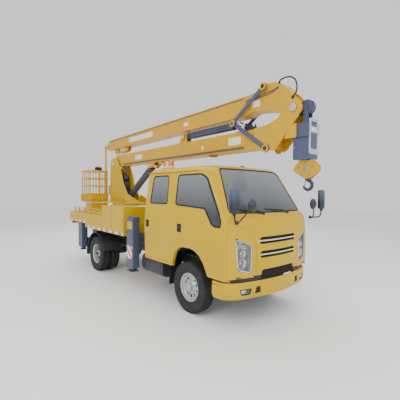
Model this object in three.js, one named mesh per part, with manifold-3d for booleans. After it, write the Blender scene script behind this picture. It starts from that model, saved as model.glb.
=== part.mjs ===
// A truck-mounted folding boom lift: a crew-cab truck with a turntable, two folding booms,
// a one-man basket beside the boom tip, a hoist at the elbow and four jacks.
// Millimetres. +X forward, +Y to the truck's left, +Z up. Sizes are first given from the
// point on the ground under the front axle; the whole group is then centred on its length.
import * as THREE from 'three';
import { mergeVertices } from 'three/addons/utils/BufferGeometryUtils.js';
import { ConvexGeometry } from 'three/addons/geometries/ConvexGeometry.js';
import Module from 'manifold-3d';

const wasm = await Module();
wasm.setup();

// ---------- driving dimensions ----------
const SEAT = 0.3;             // gap between two pieces that touch
const PANEL_GAP = 4;          // gap round a door or a separate panel
const RUN_GAP = 6;            // gap to a piece that swings or slides past

const WHEELBASE = 3360;
const TYRE_RADIUS = 388;
const TYRE_WIDTH = 190;
const RIM_RADIUS = 214;
const FRONT_FACE = 878;       // outer face of a front tyre
const REAR_FACE = 965;        // outer face of an outer rear tyre
const TWIN_PITCH = 230;       // between the twin tyres' middles

const RAIL_OUT = 400;         // frame rails, half width outside
const RAIL_WIDTH = 60;
const RAIL_BOTTOM = 570;
const RAIL_TOP = 760;
const FRAME_REAR = -5020;
const FRAME_FRONT = 820;

const CAB_REAR = -1230;
const CAB_HALF = 933;
const CAB_BOTTOM = 660;
const CAB_NOSE = 1010;        // front face on the centre line
const CAB_ROOF = 2235;        // crown of the roof
const CAB_WALL = 60;          // thickness of doors, walls and roof
const CAB_BOW = 3050;         // radius of the front face in plan
const FLOOR_FRONT = 1040;     // front floor, above the wheels and engine
const FLOOR_REAR = 820;
const FLOOR_PLATE = 40;
const FLOOR_STEP_X = -430;    // where the floor steps up
const BELT = 1625;            // lower edge of the side windows
const DOOR_SPLIT = -415;
const DOOR_FRONT = 895;
const GLASS = 8;

const DECK_HALF = 990;
const DECK_REAR = -5100;
const DECK_TOP = 1290;
const DECK_SKIRT = 948;       // lower edge of the yellow side
const SHEET = 30;             // deck plates and skirts
const BOX_REAR = -2975;
const BOX_FRONT = -1925;
const BOX_TOP = 1520;
const FENCE_TOP = 1424;
const FENCE_FRONT = -3010;

const SLEW_X = -3550;
const SLEW_RADIUS = 430;
const TABLE_BOTTOM = BOX_TOP + 12;
const TABLE_THICK = 32;
const TABLE_HALF = 330;
const TABLE_REAR = -4390;
const TABLE_FRONT = -2710;

// boom pins, in the vertical plane of the truck: [x, z]
const LOWER_PIVOT = [-4120, 2540];
const ELBOW = [1290, 2955];
const LINK_LOW = [845, 2462];
const LINK_HIGH = [806, 3345];
const LINK_MEET = [205, 2912];
const ELBOW_CYL = [-1240, 2902];
const LIFT_FOOT = [-3555, 1690];
const LIFT_HEAD = [-2430, 2420];
const TIP_PIVOT = [-4745, 3060];

const LIFT_BARREL_END = 1275;  // from the foot pin
const ELBOW_BARREL_END = 1330;

const BOOM_HALF = 115;        // half width of both booms' boxes
const LOWER_BOTTOM = 2475;
const LOWER_TOP = 2772;
const UPPER_TIP_X = -4600;
const CHEEK = 20;             // thickness of side plates and lugs

// ---------- making solids ----------
const toSolid = (geometry) => {
  const bare = geometry.index ? geometry.toNonIndexed() : geometry.clone();
  for (const name of Object.keys(bare.attributes)) {
    if (name !== 'position') bare.deleteAttribute(name);
  }
  const merged = mergeVertices(bare, 1e-3);
  const turned = (order) => new wasm.Manifold(new wasm.Mesh({
    numProp: 3,
    vertProperties: new Float32Array(merged.attributes.position.array),
    triVerts: new Uint32Array(order),
  }));
  const order = Array.from(merged.index.array);
  const solid = turned(order);
  return solid.volume() > 0 ? solid : turned(order.reverse());
};
const join = (...parts) => parts.flat(Infinity).reduce((whole, part) => whole.add(part));
const cut = (whole, ...tools) => tools.flat(Infinity).reduce((rest, tool) => rest.subtract(tool), whole);
const largest = (solid) =>
  solid.decompose().reduce((best, body) => (body.volume() > best.volume() ? body : best));
const both = (make) => [make(1), make(-1)];

const box = (x0, x1, y0, y1, z0, z1) => {
  const size = [Math.abs(x1 - x0), Math.abs(y1 - y0), Math.abs(z1 - z0)];
  const shape = new THREE.BoxGeometry(...size);
  shape.translate((x0 + x1) / 2, (y0 + y1) / 2, (z0 + z1) / 2);
  return toSolid(shape);
};
// a box on one side of the truck: side 1 is left, -1 is right; y0 and y1 are distances from the middle
const sideBox = (side, x0, x1, y0, y1, z0, z1) => box(x0, x1, side * y0, side * y1, z0, z1);

const shapeOf = (points) => new THREE.Shape(points.map(([a, b]) => new THREE.Vector2(a, b)));
const extrude = (points, depth) => new THREE.ExtrudeGeometry(shapeOf(points), { depth, bevelEnabled: false });
// plate of an [x, z] outline between two distances y
const plateY = (points, y0, y1) => {
  const shape = extrude(points, Math.abs(y1 - y0));
  shape.rotateX(Math.PI / 2);
  shape.translate(0, Math.max(y0, y1), 0);
  return toSolid(shape);
};
// bar of a [y, z] outline between two distances x
const barX = (points, x0, x1) => {
  const shape = extrude(points, Math.abs(x1 - x0));
  shape.applyMatrix4(new THREE.Matrix4().set(0, 0, 1, Math.min(x0, x1), 1, 0, 0, 0, 0, 1, 0, 0, 0, 0, 0, 1));
  return toSolid(shape);
};
// slab of an [x, y] outline between two heights
const slabZ = (points, z0, z1) => {
  const shape = extrude(points, Math.abs(z1 - z0));
  shape.translate(0, 0, Math.min(z0, z1));
  return toSolid(shape);
};

const drum = (radius, length, sides = 20, topRadius = radius) =>
  new THREE.CylinderGeometry(topRadius, radius, length, sides);
const drumY = (x, z, radius, y0, y1, sides = 20) => {
  const shape = drum(radius, Math.abs(y1 - y0), sides);
  shape.translate(x, (y0 + y1) / 2, z);
  return toSolid(shape);
};
// hole along Y for a pin: its flats, not its corners, stand clear of the pin
const boreY = ([x, z], radius, half = 400) => drumY(x, z, radius / Math.cos(Math.PI / 24), -half, half, 24);
const drumZ = (x, y, radius, z0, z1, sides = 20) => {
  const shape = drum(radius, Math.abs(z1 - z0), sides);
  shape.rotateX(Math.PI / 2);
  shape.translate(x, y, (z0 + z1) / 2);
  return toSolid(shape);
};
const drumX = (y, z, radius, x0, x1, sides = 20) => {
  const shape = drum(radius, Math.abs(x1 - x0), sides);
  shape.rotateZ(Math.PI / 2);
  shape.translate((x0 + x1) / 2, y, z);
  return toSolid(shape);
};
// round bar between two points [x, y, z]
const bar = (from, to, radius, sides = 8) => {
  const a = new THREE.Vector3(...from);
  const b = new THREE.Vector3(...to);
  const shape = drum(radius, a.distanceTo(b), sides);
  const turn = new THREE.Quaternion().setFromUnitVectors(new THREE.Vector3(0, 1, 0), b.clone().sub(a).normalize());
  shape.applyQuaternion(turn);
  const middle = a.add(b).multiplyScalar(0.5);
  shape.translate(middle.x, middle.y, middle.z);
  return toSolid(shape);
};
// round bar along a chain of points, with a ball's worth of overlap at each bend
const rail = (points, radius, sides = 6) =>
  join(points.slice(1).map((point, i) => bar(points[i], point, radius, sides)),
    points.slice(1, -1).map((point) => {
      const ball = new THREE.IcosahedronGeometry(radius * 1.08, 0);
      ball.translate(...point);
      return toSolid(ball);
    }));
// body turned about the Y axis at [x, z]: [radius, y] outline that starts and ends on the axis or closes
const latheY = (outline, x, z, y, side, sides = 32) => {
  const shape = new THREE.LatheGeometry(outline.map(([r, h]) => new THREE.Vector2(r, h)), sides);
  shape.translate(x, 0, z);
  const solid = toSolid(shape);
  const placed = side > 0 ? solid : solid.mirror([0, 1, 0]);
  return placed.translate([0, side * y, 0]);
};
// flat link with round ends between two pins [x, z]
const link = (from, to, radiusA, radiusB, y0, y1, width) => {
  const dx = to[0] - from[0];
  const dz = to[1] - from[1];
  const length = Math.hypot(dx, dz);
  const nx = (-dz / length) * width / 2;
  const nz = (dx / length) * width / 2;
  const body = plateY([[from[0] + nx, from[1] + nz], [from[0] - nx, from[1] - nz],
    [to[0] - nx, to[1] - nz], [to[0] + nx, to[1] + nz]], y0, y1);
  return join(body, drumY(...from, radiusA, y0, y1, 16), drumY(...to, radiusB, y0, y1, 16));
};
const along = (from, to, distance) => {
  const length = Math.hypot(to[0] - from[0], to[1] - from[1]);
  const share = distance / length;
  return [from[0] + (to[0] - from[0]) * share, from[1] + (to[1] - from[1]) * share];
};
const arc = (cx, cy, radius, from, to, steps) => Array.from({ length: steps + 1 }, (_, i) => {
  const angle = THREE.MathUtils.degToRad(from + (to - from) * i / steps);
  return [cx + radius * Math.cos(angle), cy + radius * Math.sin(angle)];
});

// ---------- finishes ----------
const FINISH = {
  yellow: [0xe8b411, 0.35, 0.1],
  grey: [0x5d6678, 0.4, 0.3],
  black: [0x1c2430, 0.55, 0.2],
  rubber: [0x26282b, 0.85, 0],
  rim: [0xc9cbd0, 0.35, 0.7],
  glass: [0x8c9296, 0.1, 0],
  trim: [0x2b3038, 0.6, 0],
  lamp: [0xe6edf2, 0.15, 0.1],
  cast: [0x4a4d52, 0.6, 0.6],
  orange: [0xe59a1a, 0.4, 0.1],
};
const truck = new THREE.Group();
const add = (name, finish, solid) => {
  const { vertProperties, triVerts, numProp } = solid.getMesh();
  const geometry = new THREE.BufferGeometry();
  const position = new Float32Array(vertProperties.length / numProp * 3);
  for (let i = 0; i < position.length / 3; i++) {
    position.set(vertProperties.subarray(i * numProp, i * numProp + 3), i * 3);
  }
  geometry.setAttribute('position', new THREE.BufferAttribute(position, 3));
  geometry.setIndex(new THREE.BufferAttribute(new Uint32Array(triVerts), 1));
  const [color, roughness, metalness] = FINISH[finish];
  const mesh = new THREE.Mesh(geometry, new THREE.MeshStandardMaterial({ color, roughness, metalness }));
  mesh.name = name;
  truck.add(mesh);
};
const SIDES = [['right', -1], ['left', 1]];

// ---------- chassis ----------
const SUBFRAME_TOP = 920;
const BEARER_DROP = 130;      // deck bearers reach this far below the deck's top
const BEARERS = [-4800, -3900, -3200];
const MOUNTS = [
  [-1150, FLOOR_REAR - FLOOR_PLATE], [-500, FLOOR_REAR - FLOOR_PLATE], [700, FLOOR_FRONT - FLOOR_PLATE],
  ...BEARERS.map((x) => [x, DECK_TOP - BEARER_DROP]), [-2800, DECK_SKIRT], [-2100, DECK_SKIRT]];
const AXLES = [0, -WHEELBASE];
const CROSS_X = [700, -900, -1500, -2300, -2800, -4000, -4950];
const fenderArc = (radius, from, to) => arc(-WHEELBASE, TYRE_RADIUS, radius, from, to, 8);
const FENDER_RADIUS = 500;
const SPRING_Y = 370;
const SPRING_HALF = 35;
const SPRING_TOP = 500;
add('chassis_frame', 'black', join(
  both((side) => sideBox(side, FRAME_REAR, FRAME_FRONT, RAIL_OUT - RAIL_WIDTH, RAIL_OUT, RAIL_BOTTOM, RAIL_TOP)),
  CROSS_X.map((x) => box(x - 40, x + 40, -RAIL_OUT + 10, RAIL_OUT - 10, RAIL_BOTTOM + 20, RAIL_TOP - 20)),
  both((side) => plateY([...fenderArc(FENDER_RADIUS, 15, 190), ...fenderArc(FENDER_RADIUS - 12, 190, 15)],
    side * (REAR_FACE + 12), side * 520)),
  both((side) => sideBox(side, -WHEELBASE - 30, -WHEELBASE + 30, RAIL_OUT - 10, REAR_FACE, 872, 905)),
  both((side) => sideBox(side, -WHEELBASE - 30, -WHEELBASE + 30, RAIL_OUT - 30, RAIL_OUT + 4, RAIL_TOP - 60, 905)),
  both((side) => AXLES.flatMap((x) => [-520, 520].map((dx) =>
    sideBox(side, x + dx - 30, x + dx + 30, SPRING_Y - SPRING_HALF, SPRING_Y + SPRING_HALF, SPRING_TOP + 42, RAIL_BOTTOM + 10)))),
  both((side) => MOUNTS.map(([x, top]) => sideBox(side, x - 30, x + 30, 345, 395, RAIL_TOP - 20, top - SEAT))),
  both((side) => sideBox(side, FRAME_REAR + 40, CAB_REAR - 60, RAIL_OUT - RAIL_WIDTH, RAIL_OUT, RAIL_TOP - 5, SUBFRAME_TOP)),
  [-4900, -3800, -3000, -2000, -1400].map((x) =>
    box(x - 40, x + 40, -RAIL_OUT + 10, RAIL_OUT - 10, RAIL_TOP + 40, SUBFRAME_TOP)),
  box(-1500, -820, RAIL_OUT - 5, 860, 420, 640),
));

const springPack = (side, x) => sideBox(side, x - 545, x + 545, SPRING_Y - SPRING_HALF, SPRING_Y + SPRING_HALF,
  SPRING_TOP, SPRING_TOP + 42 - SEAT);
const springSeat = (side, x) => sideBox(side, x - 60, x + 60, SPRING_Y - 45, SPRING_Y + 45, TYRE_RADIUS - 40, SPRING_TOP + 5);
const KING_Y = 640;           // steering pivot from the middle
const KING_RADIUS = 22;
add('front_axle', 'black', join(
  box(-45, 45, -520, 520, TYRE_RADIUS - 110, TYRE_RADIUS - 20),
  both((side) => cut(join(
    sideBox(side, -32, 32, 505, KING_Y, TYRE_RADIUS - 40, TYRE_RADIUS + 40),
    drumZ(0, side * KING_Y, 38, TYRE_RADIUS - 40, TYRE_RADIUS + 40)),
  drumZ(0, side * KING_Y, KING_RADIUS + 0.5, TYRE_RADIUS - 50, TYRE_RADIUS + 50))),
  both((side) => springSeat(side, 0)),
  both((side) => springPack(side, 0)),
));
add('rear_axle', 'black', join(
  drumY(-WHEELBASE, TYRE_RADIUS, 62, -520, 520, 14),
  drumX(0, TYRE_RADIUS, 165, -WHEELBASE - 110, -WHEELBASE + 130, 16),
  both((side) => drumY(-WHEELBASE, TYRE_RADIUS, 38, side * 500, side * (REAR_FACE - 20), 14)),
  both((side) => springSeat(side, -WHEELBASE)),
  both((side) => springPack(side, -WHEELBASE)),
));

// knuckle: a fork above and below the axle's end, and the stub that carries the wheel
add('drive_line', 'black', join(drumX(0, 520, 42, -WHEELBASE + 130 + SEAT, -560, 10),
  box(-900, -380 - SEAT, -130, 130, 420, 560)));
SIDES.forEach(([name, side]) => {
  const reach = KING_Y + 44;
  const fork = [[reach, 50], [KING_Y - 45, 50], [KING_Y - 45, 75], [reach + 30, 75]];
  const lower = fork.map(([y, z]) => [y, -z]).reverse();
  const outline = [...fork, ...lower].map(([y, z]) => [side * y, TYRE_RADIUS + z]);
  add(`knuckle_${name}`, 'cast', join(
    barX(side > 0 ? outline : outline.slice().reverse(), -40, 40),
    drumZ(0, side * KING_Y, KING_RADIUS, TYRE_RADIUS - 60, TYRE_RADIUS + 60),
    drumY(0, TYRE_RADIUS, 36, side * (reach + 10), side * (FRONT_FACE - 30), 14),
  ));
});

// wheels: tyres are turned outlines, rims are dished discs with a hub
const BEAD = RIM_RADIUS;
const tyreOutline = (middle) => [
  [BEAD, middle - 70], [BEAD + 40, middle - 88], [BEAD + 110, middle - TYRE_WIDTH / 2],
  [TYRE_RADIUS - 28, middle - 86], [TYRE_RADIUS, middle - 62], [TYRE_RADIUS, middle + 62],
  [TYRE_RADIUS - 28, middle + 86], [BEAD + 110, middle + TYRE_WIDTH / 2], [BEAD + 40, middle + 88],
  [BEAD, middle + 70], [BEAD, middle - 70]];
const rimOutline = (middle, half, dish, bore, hub) => [
  [bore, dish - 14], [RIM_RADIUS - 34, dish - 14], [RIM_RADIUS - 20, middle - half],
  [RIM_RADIUS - SEAT, middle - half], [RIM_RADIUS - SEAT, middle + half], [RIM_RADIUS - 20, middle + half],
  [RIM_RADIUS - 34, dish + 14], [hub, dish + 14], [hub, dish + 60], [bore, dish + 60], [bore, dish - 14]];
const TWIN_BRIDGE = (TWIN_PITCH - TYRE_WIDTH) / 2;
SIDES.forEach(([name, side]) => {
  const front = FRONT_FACE - TYRE_WIDTH / 2;
  add(`front_tyre_${name}`, 'rubber', latheY(tyreOutline(0), 0, TYRE_RADIUS, front, side));
  add(`front_rim_${name}`, 'rim', latheY(rimOutline(0, 72, 20, 36.5, 80), 0, TYRE_RADIUS, front, side));
  const outer = REAR_FACE - TYRE_WIDTH / 2;
  const middle = outer - TWIN_PITCH / 2;
  const bridge = latheY([[BEAD + 96, -TWIN_BRIDGE - 6], [BEAD + 124, -TWIN_BRIDGE - 6],
    [BEAD + 124, TWIN_BRIDGE + 6], [BEAD + 96, TWIN_BRIDGE + 6], [BEAD + 96, -TWIN_BRIDGE - 6]],
  -WHEELBASE, TYRE_RADIUS, middle, side);
  add(`rear_tyres_${name}`, 'rubber', join(bridge, [outer, outer - TWIN_PITCH].map((y) =>
    latheY(tyreOutline(0), -WHEELBASE, TYRE_RADIUS, y, side))));
  add(`rear_rims_${name}`, 'rim', latheY(rimOutline(0, TWIN_PITCH / 2 + 72, -10, 38.5, 84),
    -WHEELBASE, TYRE_RADIUS, middle, side));
});

add('engine_block', 'cast', join(box(-380, 380, -250, 250, 480, FLOOR_FRONT - FLOOR_PLATE - 20),
  both((side) => sideBox(side, -60, 60, 240, RAIL_OUT - RAIL_WIDTH - SEAT, 600, 680))));
add('fuel_tank', 'black', join(
  drumX(-660, 520, 190, -1480, -760, 20),
  box(-1400, -1340, -560, -RAIL_OUT - SEAT, 560, 700),
  box(-900, -840, -560, -RAIL_OUT - SEAT, 560, 700),
));

// ---------- cab ----------
// rows: height, rear x, front x on the centre line, half width at the rear, half width at the front corner
const CAB_ROWS = [
  [CAB_BOTTOM, CAB_REAR + 10, CAB_NOSE, CAB_HALF, CAB_HALF - 25],
  [1150, CAB_REAR - 15, CAB_NOSE - 5, CAB_HALF, CAB_HALF - 25],
  [1470, CAB_REAR, CAB_NOSE - 45, CAB_HALF - 4, CAB_HALF - 50],
  [1531, CAB_REAR + 5, CAB_NOSE - 115, CAB_HALF - 8, CAB_HALF - 70],
  [2120, CAB_REAR + 70, 520, CAB_HALF - 48, CAB_HALF - 180],
  [2190, CAB_REAR + 90, 440, CAB_HALF - 90, CAB_HALF - 230],
  [CAB_ROOF, CAB_REAR + 200, 300, CAB_HALF - 330, CAB_HALF - 430],
];
const cabHull = (inset) => {
  const points = CAB_ROWS.flatMap(([z, rear, front, halfRear, halfFront], row) => {
    const height = row === 0 ? z + inset : z > 2100 ? z - inset : z;
    const nose = front - inset;
    const half = halfFront - inset;
    const bow = [-1, -0.66, -0.33, 0, 0.33, 0.66, 1].map((t) =>
      [nose - (t * halfFront) ** 2 / (2 * CAB_BOW), t * half]);
    const corner = nose - halfFront ** 2 / (2 * CAB_BOW) - 110;
    const flank = halfRear - inset;
    return [...bow, [corner, flank], [corner, -flank], [rear + inset, flank - 30], [rear + inset, 30 - flank],
      [rear + inset + 30, flank], [rear + inset + 30, -flank]].map(([x, y]) => new THREE.Vector3(x, y, height));
  });
  return toSolid(new ConvexGeometry(points));
};
const cabOuter = cabHull(0);
const cabInner = cabHull(CAB_WALL);
const cabSkin = cut(cabOuter, cabInner);

// wheel arch in the cab's side, from rear to front
const ARCH = [[-360, 600], [-350, 705], [-300, 860], [-180, 985], [150, 990], [290, 935], [410, 815], [500, 640], [580, 400]];
const DOORS = {
  rear: [[CAB_REAR + 60, 705], [DOOR_SPLIT - PANEL_GAP / 2, 705], [DOOR_SPLIT - PANEL_GAP / 2, 2135], [CAB_REAR + 120, 2135],
    [CAB_REAR + 60, 1900]],
  front: [[DOOR_SPLIT + PANEL_GAP / 2, 705], ...ARCH.slice(1, 8), [DOOR_FRONT - 60, 640], [DOOR_FRONT - 60, 1430],
    [770, 1500], [400, 2090], [350, 2135], [DOOR_SPLIT + PANEL_GAP / 2, 2135]],
};
const WINDOWS = {
  rear: [[CAB_REAR + 190, BELT], [DOOR_SPLIT - 90, BELT], [DOOR_SPLIT - 90, 2095], [CAB_REAR + 290, 2095],
    [CAB_REAR + 210, 2040]],
  front: [[DOOR_SPLIT + 110, BELT], [420, BELT - 30], [520, 1400], [600, 1370], [735, 1370], [735, 1440],
    [375, 2040], [310, 2095], [DOOR_SPLIT + 170, 2095], [DOOR_SPLIT + 120, 2040]],
};
const grow = (points, gap) => {
  const cx = points.reduce((sum, p) => sum + p[0], 0) / points.length;
  const cz = points.reduce((sum, p) => sum + p[1], 0) / points.length;
  return points.map(([x, z]) => [x + Math.sign(x - cx) * gap, z + Math.sign(z - cz) * gap]);
};
const sidePlate = (points, side) => plateY(points, side * (CAB_HALF - 420), side * (CAB_HALF + 60));
const archCut = (side) => plateY([...ARCH, [580, 300], [-360, 300]], side * 480, side * (CAB_HALF + 60));
const WIPER_BASE = 1540;
const SCREEN = [[-790, WIPER_BASE], [790, WIPER_BASE], [650, 2165], [-650, 2165]];
const screenOutline = (gap) => SCREEN.map(([y, z]) => [y - Math.sign(y) * gap, z + (z < 1800 ? gap : -gap)]);
const REAR_WINDOW = [[-620, 1640], [620, 1640], [600, 2040], [-600, 2040]];
const FRONT_PANEL = [[-520, 700], [520, 700], [520, 1500], [-520, 1500]];
const panelPrism = (gap) => barX(FRONT_PANEL.map(([y, z]) => [y + Math.sign(y) * gap, z + (z > 1000 ? gap : -gap)]),
  760, CAB_NOSE + 50);
const cavityFloor = plateY([[CAB_REAR, FLOOR_REAR], [FLOOR_STEP_X, FLOOR_REAR], [FLOOR_STEP_X, FLOOR_FRONT],
  [CAB_NOSE + 60, FLOOR_FRONT], [CAB_NOSE + 60, 2400], [CAB_REAR, 2400]], -CAB_HALF - 50, CAB_HALF + 50);
const lowerBay = join(
  box(FLOOR_STEP_X + FLOOR_PLATE, CAB_NOSE - 90, -CAB_HALF + CAB_WALL, CAB_HALF - CAB_WALL, 500, FLOOR_FRONT - FLOOR_PLATE),
  box(CAB_REAR - 60, FLOOR_STEP_X + 60, -CAB_HALF + CAB_WALL, CAB_HALF - CAB_WALL, 500, FLOOR_REAR - FLOOR_PLATE),
);
const cabin = cabInner.intersect(cavityFloor);
// a core with the side walls' inner faces that runs on through the floor, the front and the rear wall
const flankCore = (inset) => {
  const points = CAB_ROWS.flatMap(([z, rear, front, halfRear, halfFront], row) => {
    const height = row === 0 ? z - 60 : z > 2100 ? z - inset : z;
    const tip = front - halfFront ** 2 / (2 * CAB_BOW);
    const taper = (halfRear - halfFront) / 110;
    return [1, -1].flatMap((side) => [[tip - 110, side * (halfRear - inset)], [rear - 200, side * (halfRear - inset)],
      [tip + 200, side * (halfFront - inset - 200 * taper)]]).map(([x, y]) => new THREE.Vector3(x, y, height));
  });
  return toSolid(new ConvexGeometry(points));
};
const doorSkin = cut(cabHull(-10), flankCore(CAB_WALL + 0.4));
const leafSkin = cut(cabOuter, flankCore(CAB_WALL));
const outward = (side) => box(-2000, 2000, side * (CAB_HALF - 330), side * 1200, 0, 3000);
// the front opening runs straight through the wheel arch
const FRONT_OPENING = [DOORS.front[0], [-300, 705], [500, 640], ...DOORS.front.slice(8)];
const openings = SIDES.map(([, side]) => join(archCut(side), [DOORS.rear, FRONT_OPENING].map((outline) =>
  doorSkin.intersect(sidePlate(grow(outline, PANEL_GAP), side)).intersect(outward(side)))));
const LAMP = [[800, 1228], [545, 1118], [555, 745], [770, 800]];
const lampPrism = (side, gap) => barX(LAMP.map(([y, z]) => [side * (y - Math.sign(y - 668) * gap),
  z - Math.sign(z - 970) * gap]), 700, CAB_NOSE + 60);
// posts behind the doors' edges, inside the cab
const postSkin = cut(cabHull(CAB_WALL + 0.5), cabHull(CAB_WALL + 40));
const postHead = cut(cabHull(10), cabHull(CAB_WALL + 40));
const posts = both((side) => [[-470, -365, 790, 2180], [CAB_REAR + 5, CAB_REAR + 120, 790, 2180], [770, 880, 1010, 1500]]
  .map(([x0, x1, z0, z1]) => join(
    postSkin.intersect(sideBox(side, x0, x1, 500, CAB_HALF, z0, z1)),
    postHead.intersect(sideBox(side, x0, x1, 500, CAB_HALF, 2142, z1 > 2142 ? z1 : 2143)))));
// room for the inner edges of the doors as they swing
const doorSweep = both((side) => [sideBox(side, 768, 838, 822, 900, 990, 1500), sideBox(side, -1165, -1100, 780, 905, 2010, 2138)]);
add('cab_shell', 'yellow', largest(cut(join(cut(cabOuter, cabin, lowerBay, openings,
  barX(screenOutline(0), 300, CAB_NOSE + 60), barX(REAR_WINDOW, CAB_REAR - 80, CAB_REAR + 150), panelPrism(0.5),
  both((side) => cut(lampPrism(side, 0), cabHull(20)))), posts), doorSweep)));
SIDES.forEach(([name, side]) => Object.entries(DOORS).forEach(([row, outline]) => {
  const leaf = leafSkin.intersect(sidePlate(outline, side)).intersect(outward(side));
  add(`${row}_door_${name}`, 'yellow', largest(cut(leaf, sidePlate(WINDOWS[row], side), archCut(side))));
}));
const grilleSlot = (z) => cut(barX([[-430, z - 48], [430, z - 48], [400, z + 48], [-400, z + 48]],
  700, CAB_NOSE + 60), cabHull(30));
add('front_panel', 'yellow', cut(cabSkin.intersect(panelPrism(0)), [1170, 980].map(grilleSlot),
  box(0, CAB_NOSE - CAB_WALL - 60, -800, 800, 600, 800)));
const glassSkin = cut(cabHull(14), cabHull(14 + GLASS));
add('windscreen', 'glass', glassSkin.intersect(barX(screenOutline(SEAT), 300, CAB_NOSE + 60)));


// bumper: a bowed shell round the nose with returns to the wheel arches
const BUMPER_TOP = 640;
const BUMPER_BOTTOM = 405;
const bumperHull = (inset, low, high) => {
  const nose = CAB_NOSE + 20 - inset;
  const bow = [-1, -0.66, -0.33, 0, 0.33, 0.66, 1].map((t) =>
    [nose - (t * 870) ** 2 / (2 * CAB_BOW), t * (870 - inset)]);
  return slabZ([...bow, [780, CAB_HALF - inset], [590, CAB_HALF - inset],
    [590, inset - CAB_HALF], [780, inset - CAB_HALF]], low, high);
};
const bumperGap = PANEL_GAP + 2;
add('bumper', 'yellow', join(cut(bumperHull(0, BUMPER_BOTTOM, BUMPER_TOP - bumperGap),
  bumperHull(55, BUMPER_BOTTOM - 10, BUMPER_TOP + 10),
  both((side) => archCut(side))),
both((side) => sideBox(side, FRAME_FRONT + SEAT, 960, 345, 395, 580, 630))));

// headlamps: tall units let into the corners beside the front panel
SIDES.forEach(([name, side]) => {
  add(`headlamp_${name}`, 'lamp', cut(cabHull(-6).intersect(lampPrism(side, 1)), cabHull(20 - SEAT)));
});

// mirrors on bent arms at the front corners
SIDES.forEach(([name, side]) => {
  const head = sideBox(side, 1040, 1098, 945, 1088, 1566, 1882);
  const round = drumX(side * 715, 1656, 85, 1100, 1130, 16);
  add(`mirror_${name}`, 'trim', cut(join(head, round,
    rail([[880, side * 850, 1433], [985, side * 900, 1440], [1066, side * 1010, 1500], [1066, side * 1015, 1600]], 14),
    rail([[985, side * 900, 1440], [1112, side * 760, 1600]], 12),
    sideBox(side, 800, 900, 820, 890, 1400, 1460)), cabHull(-SEAT)));
});

// inside: seats on the two floors, dash with the steering wheel
const seat = (x, y, width, floor) => join(
  box(x, x + 460, y - width / 2, y + width / 2, floor, floor + 300),
  plateY([[x - 60, floor + 280], [x + 90, floor + 280], [x + 10, floor + 840], [x - 110, floor + 840]], y - width / 2, y + width / 2));
const REAR_SEAT_FLOOR = FLOOR_REAR + SEAT;
add('rear_bench', 'trim', seat(-1000, 0, 1300, REAR_SEAT_FLOOR));
const FRONT_SEAT_FLOOR = FLOOR_FRONT + SEAT;
add('front_seats', 'trim', join(seat(-160, 500, 480, FRONT_SEAT_FLOOR), seat(-160, -430, 560, FRONT_SEAT_FLOOR),
  box(-160, 300, -160, 270, FRONT_SEAT_FLOOR, FRONT_SEAT_FLOOR + 120)));
const wheelRing = new THREE.TorusGeometry(205, 15, 6, 20);
wheelRing.rotateY(THREE.MathUtils.degToRad(90 - 62));
wheelRing.translate(455, 500, 1530);
add('dashboard', 'trim', cabHull(CAB_WALL + 42).intersect(join(
  plateY([[640, FLOOR_FRONT + 180], [800, FLOOR_FRONT + 180], [830, 1480], [760, 1520], [600, 1470], [590, 1300]], -760, 760),
  box(700, 760, -700, 700, FLOOR_FRONT + SEAT, FLOOR_FRONT + 200),
  toSolid(wheelRing), bar([455, 500, 1530], [640, 500, 1420], 24, 8),
  bar([455, 300, 1530], [455, 700, 1530], 12, 6))));

// ---------- deck, equipment box and jacks ----------
const SKIRT_STEP = -3975;    // the side sheet is shallower behind this
const DECK_SKIRT_REAR = 1040;
const REST = { rear: -4900, front: -4500, left: -180, right: -640 };
const fenceRail = (side, z) => sideBox(side, DECK_REAR + 320, FENCE_FRONT, DECK_HALF - 45, DECK_HALF - 15, z - 30, z);
const fencePosts = (side) => [DECK_REAR + 335, -4360, -3920, -3480, FENCE_FRONT - 15].map((x) =>
  sideBox(side, x - 15, x + 15, DECK_HALF - 45, DECK_HALF - 15, DECK_TOP - 10, FENCE_TOP - 5));
add('rear_deck', 'yellow', join(
  box(DECK_REAR, BOX_REAR - SEAT, -DECK_HALF, DECK_HALF, DECK_TOP - SHEET, DECK_TOP),
  both((side) => sideBox(side, SKIRT_STEP, BOX_REAR - SEAT, DECK_HALF - SHEET, DECK_HALF, DECK_SKIRT, DECK_TOP)),
  both((side) => sideBox(side, DECK_REAR, SKIRT_STEP + 1, DECK_HALF - SHEET, DECK_HALF, DECK_SKIRT_REAR, DECK_TOP)),
  box(DECK_REAR, DECK_REAR + SHEET, -DECK_HALF, DECK_HALF, DECK_SKIRT_REAR, DECK_TOP),
  both((side) => [FENCE_TOP, FENCE_TOP - 75].map((z) => fenceRail(side, z))),
  both((side) => fencePosts(side)),
  box(REST.rear, REST.front, REST.right, REST.left, DECK_TOP - 5, BOX_TOP),
  BEARERS.map((x) =>
    box(x - 30, x + 30, -DECK_HALF + 10, DECK_HALF - 10, DECK_TOP - BEARER_DROP, DECK_TOP - 5)),
));
add('equipment_box', 'yellow', box(BOX_REAR, BOX_FRONT, -DECK_HALF, DECK_HALF, DECK_SKIRT, BOX_TOP));
add('slew_pedestal', 'yellow', join(
  drumZ(SLEW_X, 0, SLEW_RADIUS, DECK_TOP + SEAT, BOX_TOP - 20, 28),
  drumZ(SLEW_X, 0, SLEW_RADIUS - 40, BOX_TOP - 25, TABLE_BOTTOM - SEAT, 28),
));

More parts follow.
